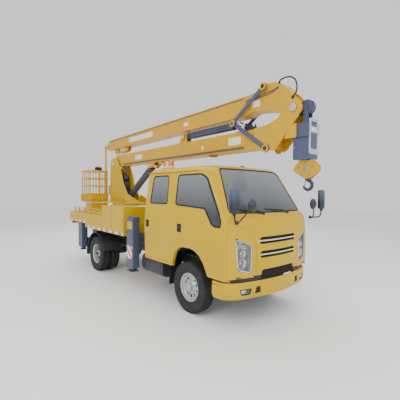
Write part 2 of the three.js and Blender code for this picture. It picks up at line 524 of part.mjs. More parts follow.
// jacks: box beams across the frame, a column at each end and a leg in each column
const COLUMN = { halfX: 125, halfY: 72, wall: 12, face: DECK_HALF + 6 };
const BEAM = { halfX: 75, halfZ: 44, wall: 12 };
const GUIDE = 0.8;            // play of a sliding beam or leg
const JACKS = [
  { row: 'front', x: -1655, top: 1350, bottom: 400, beam: SUBFRAME_TOP + SEAT + BEAM.halfZ + BEAM.wall, slides: true },
  { row: 'rear', x: -WHEELBASE - 930, top: 1030, bottom: 430, beam: SUBFRAME_TOP + SEAT + BEAM.halfZ, slides: false },
];
const column = (side, { x, top, bottom }) => {
  const mid = COLUMN.face - COLUMN.halfY;
  return cut(
    sideBox(side, x - COLUMN.halfX, x + COLUMN.halfX, mid - COLUMN.halfY, mid + COLUMN.halfY, bottom, top),
    sideBox(side, x - COLUMN.halfX + COLUMN.wall, x + COLUMN.halfX - COLUMN.wall,
      mid - COLUMN.halfY + COLUMN.wall, mid + COLUMN.halfY - COLUMN.wall, bottom - 5, top - 20));
};
const legSolid = (side, { x, top, bottom }) => {
  const mid = COLUMN.face - COLUMN.halfY;
  const inX = COLUMN.halfX - COLUMN.wall - GUIDE;
  const inY = COLUMN.halfY - COLUMN.wall - GUIDE;
  return join(sideBox(side, x - inX, x + inX, mid - inY, mid + inY, bottom - 20, top - 60),
    sideBox(side, x - 110, x + 110, mid - 80, mid + 80, bottom - 75, bottom - 15));
};
JACKS.forEach((jack) => {
  const inner = COLUMN.face - 2 * COLUMN.halfY;
  const tube = (halfX, halfZ, reach) => box(jack.x - halfX, jack.x + halfX, -reach, reach, jack.beam - halfZ, jack.beam + halfZ);
  const outer = cut(tube(BEAM.halfX + BEAM.wall, BEAM.halfZ + BEAM.wall, inner - 20),
    tube(BEAM.halfX + GUIDE, BEAM.halfZ + GUIDE, 1200));
  if (jack.slides) {
    add('front_jack_housing', 'black', outer);
  } else {
    add('rear_jack_housing', 'black', join(tube(BEAM.halfX, BEAM.halfZ, inner + 10), both((side) => column(side, jack))));
  }
  SIDES.forEach(([name, side]) => {
    if (jack.slides) {
      add(`${jack.row}_jack_arm_${name}`, 'black', join(column(side, jack),
        sideBox(side, jack.x - BEAM.halfX, jack.x + BEAM.halfX, 20, inner + 10, jack.beam - BEAM.halfZ, jack.beam + BEAM.halfZ)));
    }
    add(`${jack.row}_jack_leg_${name}`, 'black', legSolid(side, jack));
  });
});

// ---------- turntable and booms ----------
const [pivotX, pivotZ] = LOWER_PIVOT;
const BOOM_SKIN = BOOM_HALF;
const HEAD_IN = BOOM_HALF + RUN_GAP;            // inner face of the lower boom's cheeks at the elbow
const HEAD_OUT = HEAD_IN + CHEEK;
const LANE_LOW = [HEAD_OUT + 4, HEAD_OUT + 22]; // the two links swing in their own lanes
const LANE_HIGH = [LANE_LOW[1] + 4, LANE_LOW[1] + 22];
const TOWER_IN = BOOM_HALF + 25;
const TOWER_OUT = TOWER_IN + 30;
const LINK_PIN_END = LANE_HIGH[1] + 12;
const HUB_SLOT = 66;                             // half width of the slot in the upper boom's hub
const PIN = 34;
const PIN_GAP = 0.5;
const TIP_PIN = 26;
const LIFT_EYE = 80;                             // the lift cylinder's eyes are as wide as its barrel
const EYE = 40;                                  // half width of a cylinder's eye between its lugs

const tower = [[TABLE_REAR + 25, TABLE_BOTTOM + 5], [-3320, TABLE_BOTTOM + 5], [-3340, 1690], [-3610, 2010],
  [-3700, 2230], [-3800, 2420], [-3960, 2640], [pivotX + 60, 2700], [pivotX - 130, 2700], [TABLE_REAR + 40, 2560]];
const footLug = [[LIFT_FOOT[0] - 110, TABLE_BOTTOM + 10], [LIFT_FOOT[0] + 190, TABLE_BOTTOM + 10],
  [LIFT_FOOT[0] + 60, LIFT_FOOT[1] + 40], [LIFT_FOOT[0] - 50, LIFT_FOOT[1] + 50]];
const tableOutline = [[TABLE_REAR, -TABLE_HALF], [-3400, -TABLE_HALF - 30], [TABLE_FRONT - 60, -TABLE_HALF + 40],
  [TABLE_FRONT, -TABLE_HALF + 110], [TABLE_FRONT, TABLE_HALF - 110], [TABLE_FRONT - 60, TABLE_HALF - 40],
  [-3400, TABLE_HALF + 30], [TABLE_REAR, TABLE_HALF]];
add('turret', 'yellow', cut(join(
  slabZ(tableOutline, TABLE_BOTTOM, TABLE_BOTTOM + TABLE_THICK),
  both((side) => plateY(tower, side * TOWER_IN, side * TOWER_OUT)),
  plateY([[TABLE_REAR + 25, TABLE_BOTTOM + 5], [TABLE_REAR + 50, TABLE_BOTTOM + 5], [TABLE_REAR + 65, 2350],
    [TABLE_REAR + 40, 2350]], -TOWER_OUT, TOWER_OUT),
  both((side) => plateY(footLug, side * (LIFT_EYE + 5), side * (LIFT_EYE + 25))),
  both((side) => plateY([[-3330, TABLE_BOTTOM + 10], [TABLE_FRONT - 30, TABLE_BOTTOM + 10], [TABLE_FRONT - 30, 1580],
    [-3330, 1760]], side * (TOWER_OUT - 5), side * (TOWER_OUT + 15))),
  both((side) => drumY(pivotX, pivotZ, 62, side * TOWER_OUT, side * (TOWER_OUT + 18))),
  drumY(...LIFT_FOOT, PIN, -LIFT_EYE - 35, LIFT_EYE + 35, 16),
  both((side) => drumY(-3830, 2085, 34, side * TOWER_OUT, side * (TOWER_OUT + 12))),
  box(TABLE_REAR - 50, TABLE_REAR + 60, -190, -40, 1740, 1990),
), boreY(LOWER_PIVOT, PIN + 10.5, TOWER_OUT - 8)));
add('valve_block', 'grey', join(
  box(-4000, -3720, -100, 100, TABLE_BOTTOM + TABLE_THICK + SEAT, 1800),
  box(-3960, -3760, -70, 70, 1790, 2080),
));

// lower boom: box girder, a boss at its foot, lugs for the lift cylinder, and wide cheeks at the elbow
const cheek = [[620, LOWER_BOTTOM], [900, LOWER_BOTTOM - 20], [945, LOWER_BOTTOM - 60], [1010, LOWER_BOTTOM - 40],
  [1180, 2640], [1365, 2840], ...arc(ELBOW[0], ELBOW[1], 120, -55, 110, 6), [1130, 2960], [1040, 2860], [880, 2800], [620, LOWER_TOP]];
const bracket = [[-1400, LOWER_TOP - 20], [-1120, LOWER_TOP - 20], [-1150, ELBOW_CYL[1] + 40], [-1290, ELBOW_CYL[1] + 40]];
const headLug = [[LIFT_HEAD[0] - 190, LOWER_BOTTOM + 20], [LIFT_HEAD[0] + 260, LOWER_BOTTOM + 20],
  [LIFT_HEAD[0] + 60, LIFT_HEAD[1] - 60], [LIFT_HEAD[0] - 60, LIFT_HEAD[1] - 60]];
const boomFoot = [[pivotX - 100, pivotZ - 60], [pivotX + 110, LOWER_BOTTOM], [-3800, LOWER_BOTTOM], [-3800, LOWER_TOP],
  [pivotX + 60, LOWER_TOP], [pivotX - 100, pivotZ + 110]];
add('lower_boom', 'yellow', cut(join(
  box(-3850, 760, -BOOM_SKIN, BOOM_SKIN, LOWER_BOTTOM, LOWER_TOP),
  plateY(boomFoot, -BOOM_SKIN, BOOM_SKIN),
  both((side) => drumY(pivotX, pivotZ, PIN + 10, side * (BOOM_SKIN - 10), side * (TOWER_OUT - 22))),
  both((side) => plateY(cheek, side * HEAD_IN, side * HEAD_OUT)),
  box(640, 760, -HEAD_OUT, HEAD_OUT, LOWER_BOTTOM + 20, LOWER_TOP - 20),
  box(900, 960, -HEAD_OUT, HEAD_OUT, LOWER_BOTTOM - 20, LOWER_BOTTOM + 150),
  both((side) => plateY(bracket, side * (EYE + 5), side * (EYE + 22))),
  drumY(...ELBOW_CYL, PIN, -EYE - 40, EYE + 40, 16),
  both((side) => plateY(headLug, side * (LIFT_EYE + 5), side * (LIFT_EYE + 25))),
  both((side) => drumY(...LIFT_HEAD, PIN + 8, side * (LIFT_EYE + 20), side * (LIFT_EYE + 33))),
  both((side) => drumY(...LINK_LOW, PIN, side * (HEAD_OUT - 5), side * (LANE_LOW[1] + 12), 16)),
  both((side) => box(-2060, -1940, side * 40, side * 100, LOWER_BOTTOM - 45, LOWER_BOTTOM + 5)),
  box(-480, -380, -70, 70, LOWER_BOTTOM - 22, LOWER_BOTTOM + 5),
  both((side) => plateY([[1150, 2560], [1330, 2560], [1330, 2740], [1240, 2740]], side * HEAD_IN, side * HEAD_OUT)),
), boreY(ELBOW, PIN + PIN_GAP)));
add('elbow_pin', 'cast', join(drumY(...ELBOW, PIN, -HEAD_OUT - 12, HEAD_OUT + 12, 18),
  both((side) => drumY(...ELBOW, PIN + 14, side * (HEAD_OUT + 2), side * (HEAD_OUT + 16), 18))));

// upper boom: girder from the elbow head to the tip, with lugs for the links and the levelling cylinder
const upperHead = [[430, 3004], [560, 3040], [780, 3020], [1000, 2970], [1100, 2905], [ELBOW[0] - 60, ELBOW[1] - 85],
  ...arc(ELBOW[0], ELBOW[1], 95, -70, 45, 4), [1290, 3110], [1075, 3330], [960, 3385], [880, 3385], [640, 3318], [430, 3300]];
const upperBox = [[UPPER_TIP_X, 2950], [440, 3004], [440, 3300], [UPPER_TIP_X, 3205]];
const levelLug = [[-3760, 2975], [-3560, 2975], [-3600, 2870], [-3700, 2850]];
add('upper_boom', 'yellow', cut(join(
  plateY(upperBox, -BOOM_SKIN, BOOM_SKIN),
  plateY(upperHead, -BOOM_SKIN, BOOM_SKIN),
  box(TIP_PIVOT[0] - 60, UPPER_TIP_X + 10, -60, 60, 2990, 3150),
  both((side) => plateY(levelLug, side * 30, side * 50)),
  both((side) => drumY(...LINK_HIGH, PIN, side * (BOOM_SKIN - 10), side * (LANE_HIGH[1] + 12), 16)),
  both((side) => plateY([[-4330, 2975], [-4230, 2975], [-4250, 2830], [-4310, 2830]], side * 30, side * 50)),
  drumX(0, 2862, 26, -4270, -4050, 10),
  drumX(0, 2862, 38, -4060, -3680, 12),
), boreY(ELBOW, PIN + PIN_GAP), drumY(...ELBOW, 228, -HUB_SLOT, HUB_SLOT), boreY(TIP_PIVOT, TIP_PIN + PIN_GAP)));

// the two pairs of links run in lanes of their own; each end is a ring on its pin or a short boss
const bore = (pin, radius = PIN + PIN_GAP) => boreY(pin, radius);
SIDES.forEach(([name, side]) => {
  add(`lower_link_${name}`, 'grey', cut(join(
    link(LINK_LOW, LINK_MEET, 62, 52, side * LANE_LOW[0], side * LANE_LOW[1], 62),
    drumY(...LINK_MEET, 24, side * 98, side * (LANE_LOW[0] + 5), 14),
  ), bore(LINK_LOW)));
  add(`upper_link_${name}`, 'grey', cut(join(
    link(LINK_HIGH, LINK_MEET, 58, 50, side * LANE_HIGH[0], side * LANE_HIGH[1], 58),
    drumY(...LINK_MEET, 30, side * (LANE_HIGH[1] - 5), side * (LANE_HIGH[1] + 14), 14),
  ), bore(LINK_HIGH)));
});

// a cylinder from its foot pin to its head pin, drawn straight and then turned into place
const cylinder = ({ foot, head, radius, rodRadius, barrelStart, barrelEnd, rodFoot, footEye, headEye }) => {
  const length = Math.hypot(head[0] - foot[0], head[1] - foot[1]);
  const angle = THREE.MathUtils.radToDeg(Math.atan2(head[1] - foot[1], head[0] - foot[0]));
  const place = (solid) => solid.rotate([0, -angle, 0]).translate([foot[0], 0, foot[1]]);
  const ring = (x, size, half) => drumY(x, 0, size, -half, half, 18);
  const barrel = cut(join(drumX(0, 0, radius, barrelStart, barrelEnd, 20), ring(0, PIN + 22, footEye),
    box(0, barrelStart + 20, 5 - footEye, footEye - 5, -PIN - 6, PIN + 6)), bore([0, 0]),
  drumX(0, 0, rodRadius + 0.8, rodFoot - 10, barrelEnd + 10, 16));
  const rod = cut(join(drumX(0, 0, rodRadius, rodFoot, length - 20, 16), ring(length, PIN + 18, headEye)), bore([length, 0]));
  return [place(barrel), place(rod)];
};
const [liftBarrel, liftRod] = cylinder({ foot: LIFT_FOOT, head: LIFT_HEAD, radius: 78, rodRadius: 45,
  barrelStart: 70, barrelEnd: LIFT_BARREL_END, rodFoot: 85, footEye: LIFT_EYE, headEye: LIFT_EYE });
add('lift_barrel', 'grey', liftBarrel);
add('lift_rod', 'grey', join(liftRod, drumY(...LIFT_HEAD, PIN + 4, -LIFT_EYE, LIFT_EYE, 14)));
const [elbowBarrel, elbowRod] = cylinder({ foot: ELBOW_CYL, head: LINK_MEET, radius: 62, rodRadius: 38,
  barrelStart: 230, barrelEnd: ELBOW_BARREL_END, rodFoot: 245, footEye: EYE, headEye: EYE });
add('elbow_barrel', 'grey', elbowBarrel);
add('elbow_rod', 'grey', join(elbowRod, drumY(...LINK_MEET, PIN + 4, -EYE, EYE, 14), drumY(...LINK_MEET, 24, -96, 96, 14)));

// basket: tub, rails and the arm that hangs it from the tip pin, all beside the boom
const ARM = { rear: -4790, front: -4700, outer: BOOM_HALF + RUN_GAP + 20, inner: BOOM_HALF + RUN_GAP };
const BASKET = { rear: -5180, front: -4480, left: -ARM.outer, right: -691, low: 1532, tub: 1768, top: 2388 };
const POST = 16;
const basketCorners = [[BASKET.rear, BASKET.right], [BASKET.front, BASKET.right], [BASKET.front, BASKET.left],
  [BASKET.rear, BASKET.left]].map(([x, y]) => [x + (x < -4800 ? POST : -POST), y + (y < -400 ? POST : -POST)]);
const ring = (z, radius) => rail([...basketCorners, basketCorners[0], basketCorners[1]].map(([x, y]) => [x, y, z]), radius);
add('tip_pin', 'cast', join(drumY(...TIP_PIVOT, TIP_PIN, -ARM.outer - 14, 75, 16),
  drumY(...TIP_PIVOT, TIP_PIN + 14, 64, 80, 16), drumY(...TIP_PIVOT, TIP_PIN + 14, -ARM.outer - 16, -ARM.outer - 2, 16)));
add('basket', 'orange', cut(join(
  box(BASKET.rear, BASKET.front, BASKET.right, BASKET.left, BASKET.low, BASKET.tub),
  box(ARM.rear, ARM.front, -ARM.outer, -ARM.inner, BASKET.low + 0.5, TIP_PIVOT[1] + 30),
  drumY(...TIP_PIVOT, 60, -ARM.outer, -ARM.inner, 18),
  [BASKET.tub + 310, BASKET.top - POST].map((z) => ring(z, POST)),
  basketCorners.map(([x, y]) => bar([x, y, BASKET.tub - 20], [x, y, BASKET.top - POST], POST, 6)),
  [-4950, -4700].map((x) => bar([x, BASKET.right + POST, BASKET.tub - 20], [x, BASKET.right + POST, BASKET.top - POST], POST, 6)),
  bar([BASKET.rear + POST, -420, BASKET.tub - 20], [BASKET.rear + POST, -420, BASKET.top - POST], POST, 6),
  bar([BASKET.front - POST, -420, BASKET.tub - 20], [BASKET.front - POST, -420, 2500], 14, 6),
  box(BASKET.front - 60, BASKET.front, -460, -380, 2440, 2500),
), box(BASKET.rear + 20, BASKET.front - 20, BASKET.right + 20, BASKET.left - 20, BASKET.low + 25, BASKET.tub + 10),
bore(TIP_PIVOT, TIP_PIN + PIN_GAP)));

// hoist that hangs on the elbow pin: ring, casing, the rope sheave above it and the rope's bore
const HOIST = { rear: 1300, front: 1510, half: HEAD_IN - 5, low: 2268, top: 2738 };
const SHEAVE = { x: 1420, z: 2950, radius: 88, half: 42 };
const ROPE = { x: 1430, radius: 10, high: 2720 };
add('hoist', 'grey', cut(join(
  box(HOIST.rear, HOIST.front, -HOIST.half, HOIST.half, 2560, HOIST.top),
  box(HOIST.rear - 40, HOIST.front, -95, 95, HOIST.low, 2570),
  both((side) => sideBox(side, 1385, 1450, SHEAVE.half - 2, HUB_SLOT - RUN_GAP, HOIST.top - 5, SHEAVE.z + 40)),
  drumY(SHEAVE.x, SHEAVE.z, SHEAVE.radius, -SHEAVE.half, SHEAVE.half, 24),
  drumY(...ELBOW, PIN + 40, RUN_GAP - HUB_SLOT, HUB_SLOT - RUN_GAP, 24),
), bore(ELBOW), drumZ(ROPE.x, 0, ROPE.radius + 0.6, HOIST.low - 10, ROPE.high + 5, 10)));
const blockOutline = [[1275, 2120], [1330, 2235], [1420, HOIST.low - 12], [1520, HOIST.low - 12], [1590, 2140],
  [1560, 2050], [1480, 2014], [1380, 2030]];
const hookOutline = [[1500, 2025], [1535, 2025], [1540, 1990], [1575, 1960], [1590, 1925], [1575, 1885], [1535, 1864],
  [1490, 1870], [1462, 1900], [1460, 1935], [1485, 1935], [1495, 1908], [1525, 1900], [1548, 1920], [1540, 1950],
  [1505, 1970], [1495, 2000]];
add('hook_block', 'orange', join(plateY(blockOutline, -58, 58), plateY(hookOutline, -18, 18),
  drumZ(ROPE.x, 0, ROPE.radius, 2200, ROPE.high, 10)));

// centre the whole on its own length, where the joints and mounts are measured from
const CENTRE_X = (BASKET.rear + blockOutline[4][0]) / 2;
truck.children.forEach((mesh) => mesh.geometry.translate(-CENTRE_X, 0, 0));
export default truck;
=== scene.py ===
import math

import bmesh
import bpy
from mathutils import Matrix, Vector


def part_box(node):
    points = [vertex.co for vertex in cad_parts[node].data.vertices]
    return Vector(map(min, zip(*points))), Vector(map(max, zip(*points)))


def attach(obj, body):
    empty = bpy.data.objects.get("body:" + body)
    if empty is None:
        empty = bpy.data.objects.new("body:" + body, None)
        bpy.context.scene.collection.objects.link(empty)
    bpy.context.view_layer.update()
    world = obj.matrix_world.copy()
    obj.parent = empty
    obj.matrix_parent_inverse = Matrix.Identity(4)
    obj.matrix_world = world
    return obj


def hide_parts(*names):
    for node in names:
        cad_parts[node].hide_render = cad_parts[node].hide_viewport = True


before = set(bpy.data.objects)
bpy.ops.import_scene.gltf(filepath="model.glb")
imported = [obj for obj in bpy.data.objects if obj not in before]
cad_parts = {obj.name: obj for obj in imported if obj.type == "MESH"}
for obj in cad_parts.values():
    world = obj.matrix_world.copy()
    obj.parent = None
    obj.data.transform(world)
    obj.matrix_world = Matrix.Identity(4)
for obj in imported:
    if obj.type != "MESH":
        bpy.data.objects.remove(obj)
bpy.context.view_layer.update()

# ---------------------------------------------------------------- view
# The camera stands before the right front corner, a little above the bonnet. Lengths are millimetres,
# with X counted forward from the front axle; place() turns them into the frame's metres.
FRONT_AXLE = sum(corner[0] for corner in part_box("front_tyre_right")) / 2


def place(x, y, z):
    return Vector((FRONT_AXLE + x / 1000, y / 1000, z / 1000))


def stood(name, data):
    """A new object in the scene."""
    made = bpy.data.objects.new(name, data)
    bpy.context.scene.collection.objects.link(made)
    return made


VIEW_SPOT = place(3707.5, -3769.3, 1820.9)
AHEAD = Vector((-0.76594, 0.64245, -0.02432)).normalized()
VIEW_ROLL = math.radians(0.51)
lens = bpy.data.cameras.new("view")
lens.sensor_width = 36
lens.lens = 28.28
across = AHEAD.cross(Vector((0, 0, 1))).normalized()
above = across.cross(AHEAD)
right = math.cos(VIEW_ROLL) * across + math.sin(VIEW_ROLL) * above
up = math.cos(VIEW_ROLL) * above - math.sin(VIEW_ROLL) * across
camera = stood("view", lens)
camera.matrix_world = Matrix.Translation(VIEW_SPOT) @ Matrix((right, up, -AHEAD)).transposed().to_4x4()
bpy.context.scene.camera = camera


# ---------------------------------------------------------------- floor and light
# A plain pale floor under four large soft lamps and a white surround. Wire and Sheet write materials:
# sums of wires add the nodes that work them out.
class Wire:
    """A socket of a material."""

    def __init__(self, sheet, socket):
        self.sheet = sheet
        self.socket = socket

    def math(self, operation, other=0.0, flip=False):
        first, second = (other, self) if flip else (self, other)
        return self.sheet.node("ShaderNodeMath", {"operation": operation}, {0: first, 1: second})

    def __add__(self, other):
        return self.math("ADD", other)

    def __radd__(self, other):
        return self.math("ADD", other, True)

    def __sub__(self, other):
        return self.math("SUBTRACT", other)

    def __rsub__(self, other):
        return self.math("SUBTRACT", other, True)

    def __mul__(self, other):
        return self.math("MULTIPLY", other)

    def __rmul__(self, other):
        return self.math("MULTIPLY", other, True)

    def __truediv__(self, other):
        return self.math("DIVIDE", other)

    def __rtruediv__(self, other):
        return self.math("DIVIDE", other, True)

    def __lt__(self, other):
        return self.math("LESS_THAN", other)

    def __gt__(self, other):
        return self.math("GREATER_THAN", other)

    def ramp(self, low, high, start=0.0, end=1.0):
        """This value's way from low to high, as a number from start to end."""
        return self.sheet.node("ShaderNodeMapRange", {"clamp": True},
                               {0: self, 1: low, 2: high, 3: start, 4: end})


class Sheet:
    """One material: its nodes, and its shader at the end."""

    def __init__(self, name, **shader):
        self.material = bpy.data.materials.new(name)
        self.material.use_nodes = True
        self.tree = self.material.node_tree
        self.shader = self.tree.nodes["Principled BSDF"]
        self.set(**shader)

    def feed(self, socket, value):
        if isinstance(value, Wire):
            self.tree.links.new(value.socket, socket)
        elif isinstance(value, tuple) and len(value) == 3 and socket.type == "RGBA":
            socket.default_value = (*value, 1.0)
        else:
            socket.default_value = value

    def node(self, kind, settings=None, inputs=None, out=0):
        made = self.tree.nodes.new(kind)
        for key, value in (settings or {}).items():
            setattr(made, key, value)
        for key, value in (inputs or {}).items():
            self.feed(made.inputs[key], value)
        return Wire(self, made.outputs[out])

    def set(self, **values):
        for name, value in values.items():
            self.feed(self.shader.inputs[name.replace("_", " ")], value)

    def spot(self):
        return self.node("ShaderNodeTexCoord", out=3)

    def axes(self):
        split = self.node("ShaderNodeSeparateXYZ", inputs={0: self.spot()})
        return [Wire(self, socket) for socket in split.socket.node.outputs]

    def noise(self, scale, detail=3.0, roughness=0.5):
        return self.node("ShaderNodeTexNoise", None,
                         {"Vector": self.spot(), "Scale": scale, "Detail": detail, "Roughness": roughness})

    def cells(self, scale, feature="F1"):
        return self.node("ShaderNodeTexVoronoi", {"feature": feature}, {"Vector": self.spot(), "Scale": scale})

    def stripes(self, direction, scale, distortion=0.0):
        return self.node("ShaderNodeTexWave", {"bands_direction": direction},
                         {"Vector": self.spot(), "Scale": scale, "Distortion": distortion})

    def blend(self, mask, first, second):
        return self.node("ShaderNodeMix", {"data_type": "RGBA"}, {0: mask, 6: first, 7: second}, out=2)

    def bump(self, height, strength, depth=0.001):
        self.set(Normal=self.node("ShaderNodeBump", None,
                                  {"Height": height, "Strength": strength, "Distance": depth}))


floor_sheet = Sheet("studio_floor", Roughness=0.6, Base_Color=(0.93, 0.93, 0.93))
bpy.ops.mesh.primitive_plane_add(size=60)
floor = bpy.context.object
floor.name = "studio_floor"
floor.data.materials.append(floor_sheet.material)

world = bpy.data.worlds.new("studio")
world.use_nodes = True
world.node_tree.nodes["Background"].inputs[0].default_value = (1.0, 1.0, 1.0, 1.0)
world.node_tree.nodes["Background"].inputs[1].default_value = 1.0
bpy.context.scene.world = world
# each lamp: its place, power and width; all point at the truck's middle
LAMPS = [("key", (5.5, -7.5, 7.0), 450, 6.0), ("front", (9.0, 1.5, 4.5), 150, 5.0),
         ("top", (-1.0, 0.0, 9.0), 330, 8.0), ("back", (-8.0, 5.0, 5.0), 220, 5.0)]
TRUCK_MIDDLE = Vector((0, 0, 1.2))
for name, spot, power, width in LAMPS:
    lamp = bpy.data.lights.new(name, "AREA")
    lamp.energy = power
    lamp.size = width
    made = stood(name, lamp)
    made.location = spot
    made.rotation_euler = (TRUCK_MIDDLE - Vector(spot)).to_track_quat("-Z", "Y").to_euler()

# ---------------------------------------------------------------- chassis
# Two pressed steel rails with cross-members under a satin blue-black paint, the axles on leaf springs and
# the engine and gearbox slung between them. The CAD solids carry the paint; small parts are added.


def shade(colour, factor):
    return tuple(min(1.0, part * factor) for part in colour)


def tint(code):
    """A colour from its sRGB code, in the shader's linear terms."""
    parts = [int(code[i:i + 2], 16) / 255 for i in (0, 2, 4)]
    return tuple(part / 12.92 if part <= 0.04045 else ((part + 0.055) / 1.055) ** 2.4 for part in parts)


def circle(radius, count, start=0.0):
    """Points round a circle; start is a share of one step."""
    turns = [math.tau * (i + start) / count for i in range(count)]
    return [(radius * math.cos(turn), radius * math.sin(turn)) for turn in turns]


class Maker:
    """The mesh of one piece, built up from turned, sawn and bent parts."""

    def __init__(self):
        self.mesh = bmesh.new()

    def faces(self, points, faces):
        corners = [self.mesh.verts.new(place(*point)) for point in points]
        for face in faces:
            self.mesh.faces.new([corners[i] for i in face])
        return self

    def loft(self, rings, caps=True):
        """Skin over rings of equally many points."""
        count = len(rings[0])
        last = count * (len(rings) - 1)
        faces = []
        for start in range(0, last, count):
            for i in range(count):
                j = (i + 1) % count
                faces.append((start + i, start + j, start + count + j, start + count + i))
        if caps:
            faces += [range(count - 1, -1, -1), range(last, last + count)]
        return self.faces([point for ring in rings for point in ring], faces)

    def box(self, x0, x1, y0, y1, z0, z1):
        return self.loft([[(x0, y0, z), (x1, y0, z), (x1, y1, z), (x0, y1, z)] for z in (z0, z1)])

    def plate(self, outline, y0, y1):
        """A plate of an (x, z) outline between two distances y."""
        return self.loft([[(x, y, z) for x, z in outline] for y in (y0, y1)])

    def slab(self, outline, z0, z1):
        return self.loft([[(x, y, z) for x, y in outline] for z in (z0, z1)])

    def panel(self, outline, x0, x1):
        """A panel of a (y, z) outline between two distances x."""
        return self.loft([[(x, y, z) for y, z in outline] for x in (x0, x1)])

    def turn(self, outline, x, y, z, axis="Y", count=32, side=1, endless=False):
        """A turned part: a (radius, distance along the axis) outline round an axis through a point."""
        rings = []
        for radius, along in outline:
            reach = side * along
            rings.append([{"X": (x + reach, y + a, z + b), "Y": (x + a, y + reach, z + b),
                           "Z": (x + a, y + b, z + reach)}[axis] for a, b in circle(radius, count)])
        return self.loft(rings + rings[:1], False) if endless else self.loft(rings)

    def rod(self, start, end, radius, count=12):
        a, b = Vector(start), Vector(end)
        turn = (b - a).to_track_quat("Z", "Y")
        return self.loft([[middle + turn @ Vector((*spot, 0)) for spot in circle(radius, count)]
                          for middle in (a, b)])

    def tube(self, points, radius, count=10, smooth=0):
        """A round bar bent through points; smooth rounds its corners."""
        path = [Vector(point) for point in points]
        for _ in range(smooth):
            softer = [path[0]]
            for a, b in zip(path, path[1:]):
                softer += [a.lerp(b, 0.25), a.lerp(b, 0.75)]
            path = softer + [path[-1]]
        rings = []
        turn = (path[1] - path[0]).to_track_quat("Z", "Y")
        for i, point in enumerate(path):
            before = (point - path[i - 1] if i else path[1] - path[0]).normalized()
            after = (path[i + 1] - point).normalized() if i < len(path) - 1 else before
            heading = (before + after).normalized()
            turn = (turn @ Vector((0, 0, 1))).rotation_difference(heading) @ turn
            spread = radius / max(0.5, heading.dot(before))
            rings.append([point + turn @ Vector((*spot, 0)) for spot in circle(spread, count)])
        return self.loft(rings)

    def bolt(self, x, y, z, size, axis="Y", side=1, high=None):
        """A hexagon head on a washer, standing along an axis."""
        high = high or size * 0.6
        foot, edge = high * 0.2, size * 0.75
        self.turn([(edge, 0), (edge, foot), (size * 0.5, foot + 0.01)], x, y, z, axis, 12, side)
        return self.turn([(size * 0.5, foot), (size * 0.5, high * 0.9), (size * 0.42, high)],
                         x, y, z, axis, 6, side)

    def mirrored(self):
        """The same parts again on the other side of the truck."""
        whole = self.mesh.verts[:] + self.mesh.edges[:] + self.mesh.faces[:]
        for item in bmesh.ops.duplicate(self.mesh, geom=whole)["geom"]:
            if isinstance(item, bmesh.types.BMVert):
                item.co.y = -item.co.y
        return self

    def tool(self):
        """The mesh as a bare object, for sawing and joining."""
        bmesh.ops.recalc_face_normals(self.mesh, faces=self.mesh.faces[:])
        data = bpy.data.meshes.new("tool")
        self.mesh.to_mesh(data)
        self.mesh.free()
        return stood("tool", data)

    def piece(self, *words, **more):
        return finished(self.tool(), *words, **more)


def painted(work, sheet, sharp):
    """One finish all over, smooth but for edges that turn by more than sharp degrees."""
    work.data.materials.clear()
    work.data.materials.append(sheet.material)
    for face in work.data.polygons:
        face.use_smooth = True
    work.data.set_sharp_from_angle(angle=math.radians(sharp))


def soften(made, width, segments=2):
    """Rounds the edges of a piece, as rolled or ground edges are."""
    if width:
        bevel = made.modifiers.new("edges", "BEVEL")
        bevel.width = width / 1000
        bevel.segments = segments
        bevel.limit_method = "ANGLE"
        bevel.angle_limit = math.radians(40)
        bevel.harden_normals = True


def finished(work, name, body, sheet, slot, bevel=0.0, sharp=35, replaces=None, segments=2):
    """A shape becomes a piece that rides on a body, in place of a CAD node where it replaces one."""
    work.name = name
    work.data.name = name
    painted(work, sheet, sharp)
    soften(work, bevel, segments)
    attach(work, body)
    if replaces:
        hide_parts(replaces)
    return work


def dress(node, sheet, bevel, segments=2):
    """A CAD piece keeps its shape and gets its finish and rounded edges."""
    painted(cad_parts[node], sheet, 30)
    soften(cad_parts[node], bevel, segments)


ROAD_DUST = tint("8C8578")


def satin(name, colour, rough=0.42, dust=0.35, dust_top=0.9, peel=0.25, metal=0.0):
    """Sprayed satin paint: a fine orange peel, faint tone changes and a film of road dust low down."""
    sheet = Sheet(name, Metallic=metal)
    height = sheet.axes()[2]
    cloud = sheet.noise(2.2, 5.0, 0.6)
    fine = sheet.noise(38.0, 4.0, 0.6)
    tone = sheet.blend(cloud.ramp(0.3, 0.7), shade(colour, 0.88), shade(colour, 1.1))
    film = (1 - height.ramp(0.05, dust_top)) * fine.ramp(0.35, 0.75) * dust
    sheet.set(Base_Color=sheet.blend(film, tone, ROAD_DUST),
              Roughness=fine.ramp(0.2, 0.8, rough - 0.06, rough + 0.1) + film * 0.4)
    sheet.bump(sheet.noise(420.0, 2.0), peel, 0.0004)
    return sheet


frame_paint = satin("frame_paint", tint("1B2634"))
for node in ("chassis_frame", "front_axle", "rear_axle", "drive_line"):
    dress(node, frame_paint, 3)
cast_iron = satin("cast_iron", tint("45484C"), 0.62, 0.3, 1.0, 0.6, 0.4)
for node in ("engine_block", "knuckle_right", "knuckle_left"):
    dress(node, cast_iron, 5)

REAR_AXLE = -3360
springs = Maker()
for axle in (0, REAR_AXLE):
    for leaf, half in enumerate((520, 430, 340, 250)):
        springs.box(axle - half, axle + half, 337, 403, 490 - 9 * leaf, 498 - 9 * leaf)
    for clamp in (axle - 38, axle + 38):
        for y0, y1, z0, z1 in ((328, 336, 380, 556), (404, 412, 380, 556), (328, 412, 548, 558)):
            springs.box(clamp - 9, clamp + 9, y0, y1, z0, z1)
    springs.rod((axle + 150, 320, 470), (axle + 90, 300, 720), 26, 16)
springs.mirrored().piece("leaf_springs", "chassis", frame_paint, "black", 1.5)

